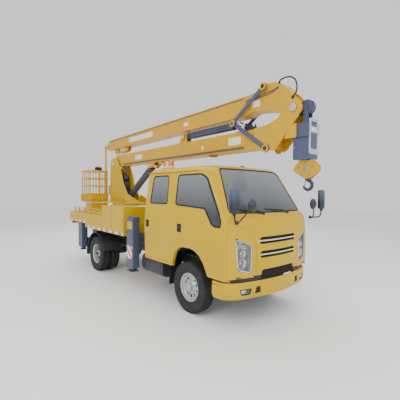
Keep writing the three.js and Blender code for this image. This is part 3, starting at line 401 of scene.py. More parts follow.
rail_bolts = Maker()
for x in range(-4950, 760, 120):
    for z in (600, 732):
        rail_bolts.bolt(x, 400, z, 22)
for x in (-4800, -3900, -3200, -2800, -2100):
    for shift in (-18, 18):
        rail_bolts.bolt(x + shift, 401, 800, 18)
zinc = Sheet("zinc_plate", Metallic=0.9)
zinc.set(Base_Color=zinc.blend(zinc.noise(60.0).ramp(0.3, 0.7), tint("A9ABA6"), tint("8D8F8C")),
         Roughness=zinc.noise(90.0).ramp(0.2, 0.8, 0.3, 0.5))
rail_bolts.mirrored().piece("rail_bolts", "chassis", zinc, "cast")

# the side tank in its straps behind the front wheel, the battery case across from it, and the pipes
TANK_Y, TANK_Z = -660, 522
tank = Maker()
wall = [(TANK_Y + 172 * math.copysign(abs(a) ** 0.6, a), TANK_Z + 172 * math.copysign(abs(b) ** 0.6, b))
        for a, b in circle(1, 28)]
tank.panel(wall, -1470, -770)
for x in (-1390, -860):
    tank.panel([(y + (y - TANK_Y) * 0.03, z + (z - TANK_Z) * 0.03) for y, z in wall], x - 20, x + 20)
    tank.box(x - 26, x + 26, -500, -402, 560, 700)
tank.turn([(42, 0), (42, 26), (34, 34), (12, 36)], -1130, -690, 690, "Z", 24)
tank.piece("side_tank", "chassis", frame_paint, "black", 4, replaces="fuel_tank")
case = Maker().box(-1506, -814, 560, 864, 612, 650)
for x in (-1450, -1160, -870):
    case.box(x - 12, x + 12, 858, 868, 430, 650)
for x in (-1310, -1010):
    case.tube([(x - 45, 864, 590), (x - 45, 882, 590), (x + 45, 882, 590), (x + 45, 864, 590)], 5, 8)
case.piece("battery_lid", "chassis", frame_paint, "black", 3)
pipes = Maker()
pipes.tube([(-380, 180, 560), (-520, 230, 470), (-900, 250, 440), (-1350, 250, 450)], 30, 14, 2)
pipes.rod((-1350, 250, 450), (-2050, 250, 460), 95, 24)
pipes.tube([(-2050, 250, 460), (-2400, 260, 500), (-2700, 300, 640)], 30, 14, 2)
pipes.tube([(-760, 330, 640), (-1600, 335, 640), (-3000, 335, 640), (-3300, 300, 560)], 7, 8, 1)
pipes.piece("exhaust_and_brake_pipes", "chassis", cast_iron, "cast", 2)

# ---------------------------------------------------------------- wheels
# Radial truck tyres with five tread ribs, on silver pressed discs with ten slotted holes and a bolted hub.
SIDES = (("right", -1), ("left", 1))
TYRE_RADIUS = 388
tyre_rubber = Sheet("tyre_rubber")
bloom = tyre_rubber.noise(9.0, 5.0, 0.6)
tyre_rubber.set(Base_Color=tyre_rubber.blend(bloom.ramp(0.35, 0.8), tint("1A1B1D"), tint("35342F")),
                Roughness=bloom.ramp(0.2, 0.8, 0.72, 0.9))
tyre_rubber.bump(tyre_rubber.noise(300.0, 3.0), 0.5, 0.0006)
wheel_silver = satin("wheel_silver", tint("B9BCC2"), 0.32, 0.25, 0.7, 0.2, 0.55)

# outlines: radius and distance from the tyre's middle
SIDEWALL = [(214, 70), (226, 84), (248, 90), (256, 93), (262, 91), (300, 95), (322, 95), (340, 92),
            (352, 93), (360, 88)]
TREAD = [(376, 84), (384, 74)]
for groove in (58, 22, -22, -58):
    TREAD += [(388, groove + 5), (377, groove + 4), (377, groove - 4), (388, groove - 5)]
TREAD += [(384, -74), (376, -84)]
TYRE = SIDEWALL + TREAD + [(r, -a) for r, a in reversed(SIDEWALL)] + [(212, -66), (212, 66)]
RIM_HALF = [(194, 62), (198, 72), (206, 76), (213, 79), (216, 76), (213, 70), (211, 68)]
RIM = RIM_HALF + [(r, -a) for r, a in reversed(RIM_HALF)]
LUG_FACES = [(0, 1, 3, 2), (4, 6, 7, 5), (0, 4, 5, 1), (2, 3, 7, 6), (0, 2, 6, 4), (1, 5, 7, 3)]
FRONT_HUB = [(37, 6), (92, 6), (96, 12), (96, 54), (90, 60), (60, 62), (58, 92), (52, 98), (0.5, 100)]
REAR_HUB = [(39, -180), (120, -180), (120, 20), (98, 34), (94, 62), (88, 78), (70, 84), (64, 150), (58, 158),
            (0.5, 160)]


TREAD_LUGS = 72
DISC_STEPS = 80


def tyre(maker, x, middle):
    """A turned tyre with a lug on each shoulder at every step of its tread."""
    maker.turn(TYRE, x, middle, TYRE_RADIUS, "Y", 64, endless=True)
    for i in range(TREAD_LUGS):
        angle = math.tau * (i + 0.5) / TREAD_LUGS
        for across, side in ((82, 1), (-82, -1)):
            corners = []
            for spread in (-1.5, 1.5):
                turn = angle + math.radians(spread)
                for r in (362, 385):
                    for a in (across + 9 * side, across - 8 * side):
                        reach = r - (6 if abs(a) > 84 and r > 380 else 0)
                        corners.append((x + reach * math.cos(turn), middle + a,
                                        TYRE_RADIUS + reach * math.sin(turn)))
            maker.faces(corners, LUG_FACES)


def disc(maker, x, middle, side, face):
    """A dished wheel disc with ten slotted holes; face is its distance from the middle."""
    profile = [(60, 0), (98, 0), (104, -4), (112, -18), (118, -22), (158, -30), (166, -32), (176, -30),
               (186, -20), (194, 4)]
    points = [(x + a, middle + side * (face + out), TYRE_RADIUS + b)
              for r, out in profile for a, b in circle(r, DISC_STEPS)]
    hole_row = 4
    faces = []
    for row in range(len(profile) - 1):
        for i in range(DISC_STEPS):
            if row != hole_row or i % 8 not in (2, 3, 4, 5):
                near, far = row * DISC_STEPS, (row + 1) * DISC_STEPS
                j = (i + 1) % DISC_STEPS
                faces.append((near + i, near + j, far + j, far + i))
    maker.faces(points, faces)


# names, axle, tyres' middles, disc's middle and face, hub, and the nuts' size and height
WHEELS = [("front_tyre", "front_wheel", "front_rim", 0, [783], 783, 58, FRONT_HUB, 24, 18),
          ("rear_tyres", "rear_wheels", "rear_rims", REAR_AXLE, [640, 870], 755, 36, REAR_HUB, 26, 22)]
for hand, side in SIDES:
    for tyres, wheel, _, x, middles, seat, *_ in WHEELS:
        rubber = Maker()
        for middle in middles:
            tyre(rubber, x, side * middle)
        if wheel == "rear_wheels":
            rubber.turn([(310, -26), (336, -26), (336, 26), (310, 26)], x, side * seat, TYRE_RADIUS)
        rubber.piece(f"{tyres}_{hand}_tread", f"{wheel}_{hand}", tyre_rubber, "rubber", sharp=28,
                     replaces=f"{tyres}_{hand}")
    for _, wheel, rims, x, middles, seat, face, hub, nut, high in WHEELS:
        rim = Maker()
        for middle in middles:
            rim.turn(RIM, x, side * middle, TYRE_RADIUS, "Y", 64, endless=True)
        disc(rim, x, side * seat, side, face)
        rim.turn(hub, x, side * seat, TYRE_RADIUS, "Y", 40, side)
        for a, b in circle(82, 6, 0.5):
            rim.bolt(x + a, side * (seat + face), TYRE_RADIUS + b, nut, "Y", side, high)
        rim.piece(f"{rims}_{hand}_disc", f"{wheel}_{hand}", wheel_silver, "rim", 1.0, replaces=f"{rims}_{hand}")


# ---------------------------------------------------------------- cab
# A pressed steel crew cab in gloss yellow: side walls that lean in above the belt, a raked screen, a
# crowned roof. Its outer skin is lofted from level sections, then sawn along the door and window lines.
YELLOW = tint("CCA600")


def gloss(name, colour, dust=0.1):
    """Gloss enamel under lacquer, with a faint orange peel, tone changes and dust on the sills."""
    sheet = Sheet(name, Roughness=0.3, Coat_Roughness=0.06, Specular_IOR_Level=0.18)
    height = sheet.axes()[2]
    cloud = sheet.noise(1.4, 4.0, 0.55)
    grit = sheet.noise(24.0, 5.0, 0.62)
    tone = sheet.blend(cloud.ramp(0.3, 0.7), shade(colour, 0.94), shade(colour, 1.05))
    film = (1 - height.ramp(0.35, 1.0)) * grit.ramp(0.42, 0.75) * dust
    sheet.set(Base_Color=sheet.blend(film, tone, ROAD_DUST), Coat_Weight=0.14 - film,
              Roughness=grit.ramp(0.2, 0.8, 0.3, 0.42) + film * 0.5)
    sheet.bump(sheet.noise(260.0, 2.0), 0.12, 0.0003)
    return sheet


def plastic(name, colour, rough=0.55, grain=900.0):
    """Moulded plastic with a fine leather grain that fades with age."""
    sheet = Sheet(name)
    age = sheet.noise(6.0, 4.0, 0.6)
    sheet.set(Base_Color=sheet.blend(age.ramp(0.3, 0.8), shade(colour, 0.85), shade(colour, 1.25)),
              Roughness=age.ramp(0.2, 0.8, rough - 0.07, rough + 0.07))
    sheet.bump(sheet.cells(grain), 0.25, 0.0004)
    return sheet


body_yellow = gloss("body_yellow", YELLOW)
trim_black = plastic("trim_black", tint("1C1E22"))
cabin_grey = plastic("cabin_grey", tint("55585C"), 0.7)
seal_rubber = plastic("seal_rubber", tint("101113"), 0.75, 400.0)

CAB_BOW = 3050   # radius of the front face in plan
SKIN = 50        # thickness of the pressed walls with their lining
LEAN_IN = 2100   # above this the roof curves in
# level sections: height, rear face, nose, half width of the sides, half width at the front corner
SECTIONS = [(660, -1218, 1006, 927, 905), (676, -1221, 1008, 930, 907), (1079, -1240, 1006, 930, 907),
            (1085, -1240, 1006, 934, 909), (1200, -1243, 1003, 933, 907), (1400, -1236, 983, 931, 894),
            (1452, -1232, 971, 929, 886), (1488, -1230, 952, 928, 878), (1514, -1228, 925, 927, 870),
            (1531, -1225, 893, 925, 863), (1700, -1206, 787, 914, 831), (1880, -1186, 673, 902, 798),
            (2060, -1166, 558, 889, 764), (2120, -1157, 519, 880, 748), (2156, -1146, 484, 862, 724),
            (2186, -1130, 443, 834, 694), (2208, -1106, 400, 792, 652), (2222, -1072, 352, 726, 594),
            (2230, -1020, 290, 630, 510), (2234, -900, 150, 430, 340), (2235, -700, 0, 200, 150)]


def bowed(x, y):
    """How far forward the bowed front face stands at a distance from the middle."""
    return x - y * y / (2 * CAB_BOW)


def eased(a, b, c, steps):
    """Points along a curve from a to c that leans towards b."""
    shares = [k / steps for k in range(steps + 1)]
    return [tuple((1 - t) ** 2 * p + 2 * t * (1 - t) * q + t * t * r for p, q, r in zip(a, b, c))
            for t in shares]


def section(row, inset=0):
    """One level of the cab, drawn in by inset: from the middle of its back round to the other side."""
    z, rear, nose, half, front_half = row
    flank = half - inset
    corner = front_half - inset - 40
    drop = half - front_half
    rear += inset
    edge = min(45, flank * 0.2)
    tip = bowed(nose - inset, front_half)
    points = [(rear, (flank - edge) * k / 5) for k in range(5)]
    for k in range(6):
        turn = math.radians(18 * k)
        points.append((rear + edge - edge * math.cos(turn), flank - edge + edge * math.sin(turn)))
    points += [(rear + edge + (tip - 145 - rear - edge) * k / 26, flank) for k in range(1, 26)]
    points += eased((tip - 145, flank), (tip - 8 - 0.45 * drop, flank - 8 - 0.06 * drop),
                    (bowed(nose - inset, corner), corner), 8)
    points += [(bowed(nose - inset, corner * (1 - k / 12)), corner * (1 - k / 12)) for k in range(1, 13)]
    level = z - inset if z > LEAN_IN else z
    return [(x, y, level) for x, y in points] + [(x, -y, level) for x, y in reversed(points[1:-1])]


def cab_solid(inset=0, floor=SECTIONS[0][0]):
    rows = [(floor, *SECTIONS[0][1:])] + SECTIONS[1:]
    return Maker().loft([section(row, inset) for row in rows]).tool()


def copied(source):
    return stood("tool", source.data.copy())


def sawn(work, *cuts, keep=()):
    """Takes each tool away from the work, or keeps only what lies inside it; the tools are used up."""
    for operation, tools in (("DIFFERENCE", cuts), ("INTERSECT", keep)):
        for tool in tools:
            step = work.modifiers.new("cut", "BOOLEAN")
            step.operation = operation
            step.solver = "EXACT"
            step.object = tool
    graph = bpy.context.evaluated_depsgraph_get()
    done = bpy.data.meshes.new_from_object(work.evaluated_get(graph))
    work.modifiers.clear()
    work.data = done
    for tool in (*cuts, *keep):
        bpy.data.objects.remove(tool)
    return work


def rounded(outline, radius, steps=5):
    """The outline with its corners rounded; radius is one number or one for each corner."""
    count = len(outline)
    sizes = radius if isinstance(radius, (list, tuple)) else [radius] * count
    result = []
    for i, corner in enumerate(outline):
        here = Vector(corner)
        before = Vector(outline[i - 1]) - here
        after = Vector(outline[(i + 1) % count]) - here
        size = min(sizes[i], before.length * 0.48, after.length * 0.48)
        if size < 1:
            result.append(tuple(corner))
            continue
        result += eased(here + before.normalized() * size, here, here + after.normalized() * size, steps)
    return result


def oblong(a0, a1, b0, b1, radius=0, steps=5):
    """An outline with four corners, rounded where a radius is given."""
    return rounded([(a0, b0), (a1, b0), (a1, b1), (a0, b1)], radius, steps)


def grown(outline, gap):
    """The outline moved outwards by gap, for outlines without deep notches."""
    points = [Vector(point) for point in outline]
    area = sum(a.x * b.y - b.x * a.y for a, b in zip(points, points[1:] + points[:1]))
    sign = 1 if area > 0 else -1
    moved = []
    for i, here in enumerate(points):
        before = (here - points[i - 1]).normalized()
        after = (points[(i + 1) % len(points)] - here).normalized()
        normal = Vector((before.y + after.y, -before.x - after.x)).normalized() * sign
        lean = Vector((after.y, -after.x)) * sign
        moved.append(tuple(here + normal * gap / max(0.5, normal.dot(lean))))
    return moved


def side_tool(outline, side, near=500):
    """A sawing block of an (x, z) outline that reaches in through one side of the cab."""
    return Maker().plate(outline, side * near, side * 1000).tool()


def nose_tool(outline, near=600, far=1100):
    """A sawing block of a (y, z) outline that reaches in through the nose."""
    return Maker().panel(outline, near, far).tool()


def box_tool(*sizes):
    return Maker().box(*sizes).tool()


ARCH = [(-360, 600), (-350, 705), (-322, 800), (-262, 905), (-170, 975), (-60, 998), (90, 998), (200, 975),
        (300, 925), (385, 845), (450, 745), (500, 640), (560, 480), (580, 400)]
DOOR_SPLIT = -415
REAR_DOOR = [(-1170, 705), (DOOR_SPLIT - 2, 705), (DOOR_SPLIT - 2, 2135), (-1110, 2135), (-1170, 1900)]
FRONT_DOOR = [(DOOR_SPLIT + 2, 705), (-350, 705)] + ARCH[2:11] + [
    (500, 645), (835, 645), (835, 1430), (770, 1510), (400, 2090), (340, 2135), (DOOR_SPLIT + 2, 2135)]
REAR_GLASS = [(-1040, 1630), (-515, 1630), (-505, 2085), (-955, 2085)]
FRONT_GLASS = [(-285, 1628), (405, 1598), (455, 1540), (560, 1392), (620, 1362), (735, 1362), (742, 1450),
               (395, 2030), (310, 2085), (-245, 2085)]
GLASS_CORNERS = {"rear": 55, "front": [45, 60, 40, 60, 30, 20, 60, 90, 40, 55]}
SCREEN = [(-808, 1545), (808, 1545), (652, 2172), (-652, 2172)]
BACK_LIGHT = [(-620, 1650), (620, 1650), (600, 2040), (-600, 2040)]
NOSE_PANEL = [(-840, 1497), (-840, 1432), (-566, 1296), (-508, 1180), (-508, 705), (508, 705), (508, 1180),
              (566, 1296), (840, 1432), (840, 1497)]
LAMP = [(800, 1228), (545, 1118), (555, 745), (770, 800)]


def one_side(outline, side):
    return [(side * y, z) for y, z in outline]


def flank_core(inset):
    """What lies inside the side walls, run on through the nose, the back and the floor."""
    rings = []
    for z, rear, nose, half, front_half in SECTIONS[:-2]:
        tip = bowed(nose, front_half)
        taper = (half - front_half) / 110
        corner = [(rear - 200, half - inset), (tip - 110, half - inset),
                  (tip + 200, front_half - inset - 200 * taper)]
        level = z - inset if z > LEAN_IN else z
        rings.append([(x, y, level) for x, y in corner] + [(x, -y, level) for x, y in reversed(corner)])
    rings[0] = [(x, y, 500) for x, y, _ in rings[0]]
    return Maker().loft(rings).tool()


side_wall = sawn(cab_solid(), flank_core(SKIN))
HANDLES = {"rear": (-1107, 52), "front": (-172, 56)}
DOOR_LINES = {"rear": (REAR_DOOR, REAR_GLASS), "front": (FRONT_DOOR, FRONT_GLASS)}
for hand, side in SIDES:
    for row, (outline, glass) in DOOR_LINES.items():
        x, size = HANDLES[row]
        recess = oblong(x - size, x + size, 1209, 1339, 20)
        leaf = sawn(copied(side_wall), side_tool(rounded(glass, GLASS_CORNERS[row]), side),
                    side_tool(recess, side, 912), keep=[side_tool(rounded(outline, 12), side)])
        finished(leaf, f"{row}_door_{hand}_skin", f"{row}_door_{hand}_body", body_yellow, "yellow", 3,
                 replaces=f"{row}_door_{hand}")

shell = sawn(cab_solid(), cab_solid(SKIN, 560))
openings = []
for side in (-1, 1):
    openings.append(side_tool(ARCH + [(580, 300), (-360, 300)], side, 480))
    for outline in (REAR_DOOR, FRONT_DOOR):
        leaf = side_tool(grown(rounded(outline, 12), 4), side)
        openings.append(sawn(cab_solid(-8), flank_core(SKIN + 1), keep=[leaf]))
for hand, side in SIDES:
    openings.append(nose_tool(grown(rounded(one_side(LAMP, side), 30), 3)))
openings += [box_tool(770, 1100, -512, 512, 600, 708), nose_tool(rounded(SCREEN, 60), 300),
             Maker().panel(rounded(BACK_LIGHT, 60), -1320, -1050).tool(), nose_tool(grown(NOSE_PANEL, 2), 800),
             box_tool(770, 1100, -1000, 1000, 600, 690)]
finished(sawn(shell, *openings), "cab_skin", "chassis", body_yellow, "yellow", 3, replaces="cab_shell")
bpy.data.objects.remove(side_wall)

# ---------------------------------------------------------------- cab glass
# Light grey safety glass bonded flush in black rubber: one bowed screen, four door panes, a back light.
def glazing(name):
    """Grey tinted glass, with painted shade towards its foot and a painted reflection lightening it towards its
    top, with dried drops and wiper dust.
    """
    sheet = Sheet(name, Roughness=0.07, IOR=1.5, Specular_IOR_Level=0.7)
    height = sheet.axes()[2]
    drops = sheet.cells(38.0, "SMOOTH_F1")
    haze = sheet.noise(2.4, 4.0, 0.6)
    # the colour ramps from dark at the foot to pale at the top of each pane: painted shade and painted
    # reflection, not the glass's own tint
    sheet.set(Base_Color=sheet.blend(height.ramp(1.5, 2.15), tint("3A3F45"), tint("8B9197")),
              Alpha=0.72 + haze.ramp(0.3, 0.7, 0.0, 0.08) + drops.ramp(0.0, 0.08, 0.06, 0.0),
              Roughness=haze.ramp(0.2, 0.8, 0.05, 0.12))
    return sheet


def band(outer, inner, inside):
    """A bent sheet following the cab's skin, between two depths below it, within a sawing tool."""
    return sawn(cab_solid(outer), cab_solid(inner), keep=[inside])


cab_glass = glazing("cab_glass")


def pane(name, body, saw, shape, lap, replaces=None):
    """A pane let into its opening and the rubber round it; saw turns an outline into a sawing tool."""
    glass = band(4, 9, saw(grown(shape, 2)))
    finished(glass, f"{name}_glass", body, cab_glass, "glass", replaces=replaces)
    seal = sawn(band(-1.5, 14, saw(grown(shape, lap))), saw(grown(shape, -9)))
    finished(seal, f"{name}_seal", body, seal_rubber, "rubber", 1)


pane("screen", "chassis", lambda line: nose_tool(line, 300), rounded(SCREEN, 60), 8, "windscreen")
for hand, side in SIDES:
    for row, (_, glass) in DOOR_LINES.items():
        pane(f"{row}_pane_{hand}", f"{row}_door_{hand}_body", lambda line: side_tool(line, side),
             rounded(glass, GLASS_CORNERS[row]), 11)
back = Maker().panel(rounded(BACK_LIGHT, 60), -1206, -1200)
back.piece("back_light", "chassis", cab_glass, "glass")
ring = sawn(Maker().panel(grown(rounded(BACK_LIGHT, 60), 14), -1222, -1196).tool(),
            Maker().panel(grown(rounded(BACK_LIGHT, 60), -12), -1300, -1100).tool())
finished(ring, "back_light_seal", "chassis", seal_rubber, "rubber", 2)

# ---------------------------------------------------------------- cab front
# The bonnet flap between the lamps carries two black louvres with bright bars, and a mesh intake below.
# At each corner a black tub holds two bright bowls behind a clear cover that follows the bend.
chrome = Sheet("bright_chrome", Metallic=1.0)
chrome.set(Base_Color=chrome.blend(chrome.noise(5.0, 4.0), tint("C9CCD0"), tint("EDEFF1")),
           Roughness=chrome.noise(30.0, 4.0).ramp(0.3, 0.8, 0.08, 0.24))
chrome.bump(chrome.noise(70.0), 0.04, 0.0004)
LOUVRES = [(1171, 427), (980, 414)]


def louvre_outline(z, wide):
    right = [(wide - 34, z - 48), (wide - 4, z + 6), (wide - 44, z + 48)]
    return right + [(-y, z) for y, z in reversed(right)]


INTAKE = [(-398, 640), (398, 640), (362, 752), (338, 768), (-338, 768), (-362, 752)]
flap = band(0, 42, nose_tool(rounded(NOSE_PANEL, [4, 20, 50, 60, 30, 30, 60, 50, 20, 4]), 800))
cuts = [box_tool(770, 1100, -1000, 1000, 600, 690)]
cuts += [nose_tool(rounded(louvre_outline(z, wide), 10)) for z, wide in LOUVRES]
cuts.append(nose_tool(rounded(grown(INTAKE, 5), 16)))
for side in (-1, 1):
    groove = nose_tool(oblong(side * 470, side * 476, 690, 1165))
    cuts.append(sawn(cab_solid(-20), cab_solid(5), keep=[groove]))
finished(sawn(flap, *cuts), "bonnet_flap", "chassis", body_yellow, "yellow", 2.5, replaces="front_panel")


def spread(reach, steps=8):
    return [reach * t / steps for t in range(-steps, steps + 1)]


def nose_bar(maker, nose, profile, places):
    """A bar across the nose that follows its bow; its profile is depth behind the nose, and height."""
    maker.loft([[(bowed(nose, y) - back, y, z) for back, z in profile] for y in places])


louvres = Maker()
for z, wide in LOUVRES:
    for k, level in enumerate((z - 34, z - 12, z + 14, z + 36)):
        slat = [(0, level - 9), (0, level - 4), (16, level + 9), (20, level + 6)]
        nose_bar(louvres, 984, slat, spread(wide - (30 if k in (0, 3) else 8)))
    for side in (-1, 1):
        end = [(8, z - 44), (8, z + 44), (30, z + 44), (30, z - 44)]
        nose_bar(louvres, 1000, end, [side * (wide - 46), side * (wide - 18)])
    nose_bar(louvres, 1000, [(36, z - 50), (36, z + 50), (44, z + 50), (44, z - 50)], spread(wide))
louvres.piece("louvres", "chassis", trim_black, "black", 1.5)
bars = Maker()
for z, wide in LOUVRES:
    bars.loft([[(bowed(1003, y) - back, y, z - 2 + high * (0.35 if abs(y) == wide + 26 else 1))
                for back, high in ((8, -13), (-1, -10), (-4, 0), (-1, 10), (8, 13), (16, 0))]
               for y in spread(wide + 26, 10)])
bars.piece("louvre_bars", "chassis", chrome, "chrome", 1)
mesh = Maker()
for row in range(7):
    z = 645 + 17 * row
    nose_bar(mesh, 984, [(0, z - 2.5), (-9, z - 2), (-9, z + 2), (0, z + 2.5)], spread(396 - 8 * row))
for k in range(-22, 23):
    y = k * 17.2
    x = bowed(984, y)
    mesh.box(x, x + 6, y - 2, y + 2, 642, 762 if abs(y) < 346 else 690)
nose_bar(mesh, 966, [(0, 640), (0, 772), (6, 772), (6, 640)], spread(400))
mesh.piece("intake_mesh", "chassis", trim_black, "black", 0.8)

lamp_bowl = Sheet("lamp_bowl", Metallic=1.0, Roughness=0.16)
facets = lamp_bowl.node("ShaderNodeTexBrick", None, {"Vector": lamp_bowl.spot(), "Scale": 16.0}, out=1)
lamp_bowl.set(Base_Color=lamp_bowl.blend(lamp_bowl.noise(22.0), tint("B9BEC4"), tint("F1F3F5")))
lamp_bowl.bump(facets, 0.5, 0.003)
lamp_clear = Sheet("lamp_clear", Roughness=0.05, IOR=1.49, Base_Color=(0.9, 0.93, 0.95))
flutes = lamp_clear.stripes("Y", 24.0)
lamp_clear.set(Alpha=lamp_clear.noise(14.0, 3.0).ramp(0.3, 0.8, 0.05, 0.13))
lamp_clear.bump(flutes, 0.12, 0.001)
amber = Sheet("amber_lens", Roughness=0.14, Coat_Weight=0.6)
ribs = amber.stripes("Z", 30.0)
amber.set(Base_Color=amber.blend(ribs, tint("D9480C"), tint("F58A1F")))
amber.bump(ribs, 0.4, 0.002)
for hand, side in SIDES:
    shape = rounded(one_side(LAMP, side), [70, 40, 60, 70])
    tub = sawn(cab_solid(6), cab_solid(95), keep=[nose_tool(shape, 700)])
    hollow = sawn(cab_solid(-10), cab_solid(70), keep=[nose_tool(grown(shape, -16), 700)])
    finished(sawn(tub, hollow), f"headlamp_tub_{hand}", "chassis", trim_black, "black", 2)
    rim = sawn(cab_solid(2), cab_solid(12), keep=[nose_tool(shape, 700)])
    rim = sawn(rim, nose_tool(grown(shape, -11), 700))
    finished(rim, f"headlamp_frame_{hand}", "chassis", chrome, "chrome", 1.5)
    clear = sawn(cab_solid(3), cab_solid(6), keep=[nose_tool(grown(shape, -5), 700)])
    finished(clear, f"headlamp_cover_{hand}", "chassis", lamp_clear, "lamp", replaces=f"headlamp_{hand}")
    bowls = Maker()
    for y, z, size in ((672, 880, 62), (668, 1012, 54)):
        x = 932 - (abs(y) - 560) * 0.18
        bowls.turn([(size * 0.2, -70), (size * 0.55, -62), (size * 0.85, -40), (size, 0), (size * 1.06, 0),
                    (size * 1.06, -6), (size * 0.9, -46), (size * 0.58, -68), (size * 0.2, -76)],
                   x - 6, side * y, z, "X", 32)
        bowls.turn([(15, -60), (15, -34), (11, -28), (0.5, -26)], x - 6, side * y, z, "X", 16)
    for k in range(4):
        z = 1078 + 26 * k
        step = ((900, -10), (914, -7), (896, 8), (884, 6))
        bowls.loft([[(x - (y - 560) * 0.2, side * y, z + high) for x, high in step]
                    for y in (574 + 6 * k, 640 + 10 * k, 752)])
    bowls.piece(f"headlamp_bowls_{hand}", "chassis", lamp_bowl, "chrome", 1)
    wink = Maker()
    foot = ((706, 1146), (748, 1162), (744, 1196), (716, 1186))
    wink.loft([[(x - (y - 700) * 0.3, side * y, z) for y, z in foot] for x in (900, 914)])
    wink.piece(f"turn_lens_{hand}", "chassis", amber, "lamp", 3)

# ---------------------------------------------------------------- bumper
# A pressed steel bumper in body yellow, wrapped round both corners under the black slot. It has two
# tow openings, a blank plate place between them, and a fog lamp in a black frame near each end.
def wrap(inset):
    """The bumper in plan, from its left end round the nose to its right end."""
    line = [(1029 - inset - y * y / (2 * 2600), y) for y in range(0, 760, 60)]
    line += [(894 - inset, 806 - inset * 0.5), (862 - inset, 858 - inset), (816 - inset * 0.8, 899 - inset),
             (762, 922 - inset), (700, 931 - inset), (590, 931 - inset)]
    return line[::-1] + [(x, -y) for x, y in line[1:]]


def bumper_band(outer, inner, z0, z1, soft=0, lip=0):
    """A length of bumper between two depths; its lower edge falls back by soft, its upper by lip."""
    inside = wrap(inner)[::-1]
    high = z1 - z0
    levels = [(z0, soft * 1.3), (z0 + high * 0.05, soft), (z0 + high * 0.27, 0), (z0 + high * 0.82, 0),
              (z1 - high * 0.04, lip * 0.4), (z1, lip)]
    return Maker().loft([[(x, y, z) for x, y in wrap(outer + back) + inside] for z, back in levels]).tool()


def opening(corners, radius, side, near=700):
    return nose_tool(rounded(one_side(corners, side), radius), near)


cuts = []
for side in (-1, 1):
    cuts.append(opening([(510, 466), (392, 470), (398, 560), (478, 560)], 12, side, 800))
    cuts.append(opening([(742, 548), (548, 546), (580, 464), (718, 466)], 14, side))
    cuts += [Maker().turn([(9, 0), (9, 60)], 985, side * 225, z, "X", 16).tool() for z in (585, 470)]
cuts += [box_tool(560, 868, side * 918, side * 960, 588, 601) for side in (-1, 1)]
bumper_skin = sawn(bumper_band(0, 24, 407, 632, 18, 12), *cuts)
finished(bumper_skin, "bumper_skin", "chassis", body_yellow, "yellow", 5, replaces="bumper")
slot = sawn(bumper_band(26, 60, 628, 700), nose_tool([(-392, 620), (392, 620), (352, 760), (-352, 760)], 700))
finished(slot, "bumper_slot", "chassis", trim_black, "black", 2)
lining = bumper_band(28, 34, 430, 620)
finished(lining, "bumper_lining", "chassis", trim_black, "black")
eyes = Maker()
eyes.tube([(930, 420, 512), (968, 420, 512), (980, 446, 512), (968, 472, 512), (930, 472, 512)], 9, 10, 1)
eyes.mirrored().piece("tow_eyes", "chassis", frame_paint, "black", 1)
for hand, side in SIDES:
    edge = opening([(741, 547), (549, 545), (581, 465), (717, 467)], 14, side)
    ring = sawn(bumper_band(2, 44, 440, 580), keep=[edge])
    inner = opening([(722, 533), (568, 531), (594, 480), (706, 481)], 10, side)
    finished(sawn(ring, inner), f"fog_frame_{hand}", "chassis", trim_black, "black", 2)
    window = opening([(724, 535), (566, 533), (592, 478), (708, 479)], 10, side)
    lens = sawn(bumper_band(9, 15, 440, 580), keep=[window])
    finished(lens, f"fog_lens_{hand}", "chassis", lamp_clear, "lamp")
    bowl = Maker()
    rim = ((-70, 22), (-30, 25), (30, 25), (72, 24), (56, -22), (20, -25), (-20, -25), (-52, -22))
    bowl.loft([[(x, side * (645 + a * size), 505 + b * size) for a, b in rim]
               for x, size in ((924, 1.0), (900, 0.86), (880, 0.5), (874, 0.2))])
    bowl.piece(f"fog_bowl_{hand}", "chassis", lamp_bowl, "chrome", 1)
    glow = sawn(bumper_band(18, 26, 645, 672), keep=[box_tool(760, 905, side * 840, side * 925, 600, 700)])
    finished(glow, f"corner_lens_{hand}", "chassis", amber, "lamp", 1)

# ---------------------------------------------------------------- mirrors and wipers
# Moulded mirror heads in slate blue on bent black tubes with a round kerb mirror on its own stay, and
# two pressed wiper arms parked along the foot of the screen.
slate = plastic("mirror_shell", tint("2C3444"), 0.45, 1200.0)
slate_top = slate.axes()[2]
# the shell's colour is painted lighter towards its top, as light from above falls on it, plus a faint random tone
# change
painted_top_light_and_tone = slate_top.ramp(1.66, 1.9) * 0.7 + slate.noise(9.0).ramp(0.3, 0.8, 0.0, 0.1)
slate.set(Base_Color=slate.blend(painted_top_light_and_tone, tint("151A24"), tint("5E6C86")))
mirror_face = Sheet("mirror_face", Metallic=1.0)
mirror_face.set(Base_Color=mirror_face.blend(mirror_face.noise(3.0), tint("AEB6BD"), tint("D6DBDF")),
                Roughness=mirror_face.noise(9.0, 5.0).ramp(0.3, 0.8, 0.03, 0.12))
MIRROR_MIDDLE = (1015, 1724)
KERB_MIRROR = (716, 1656)
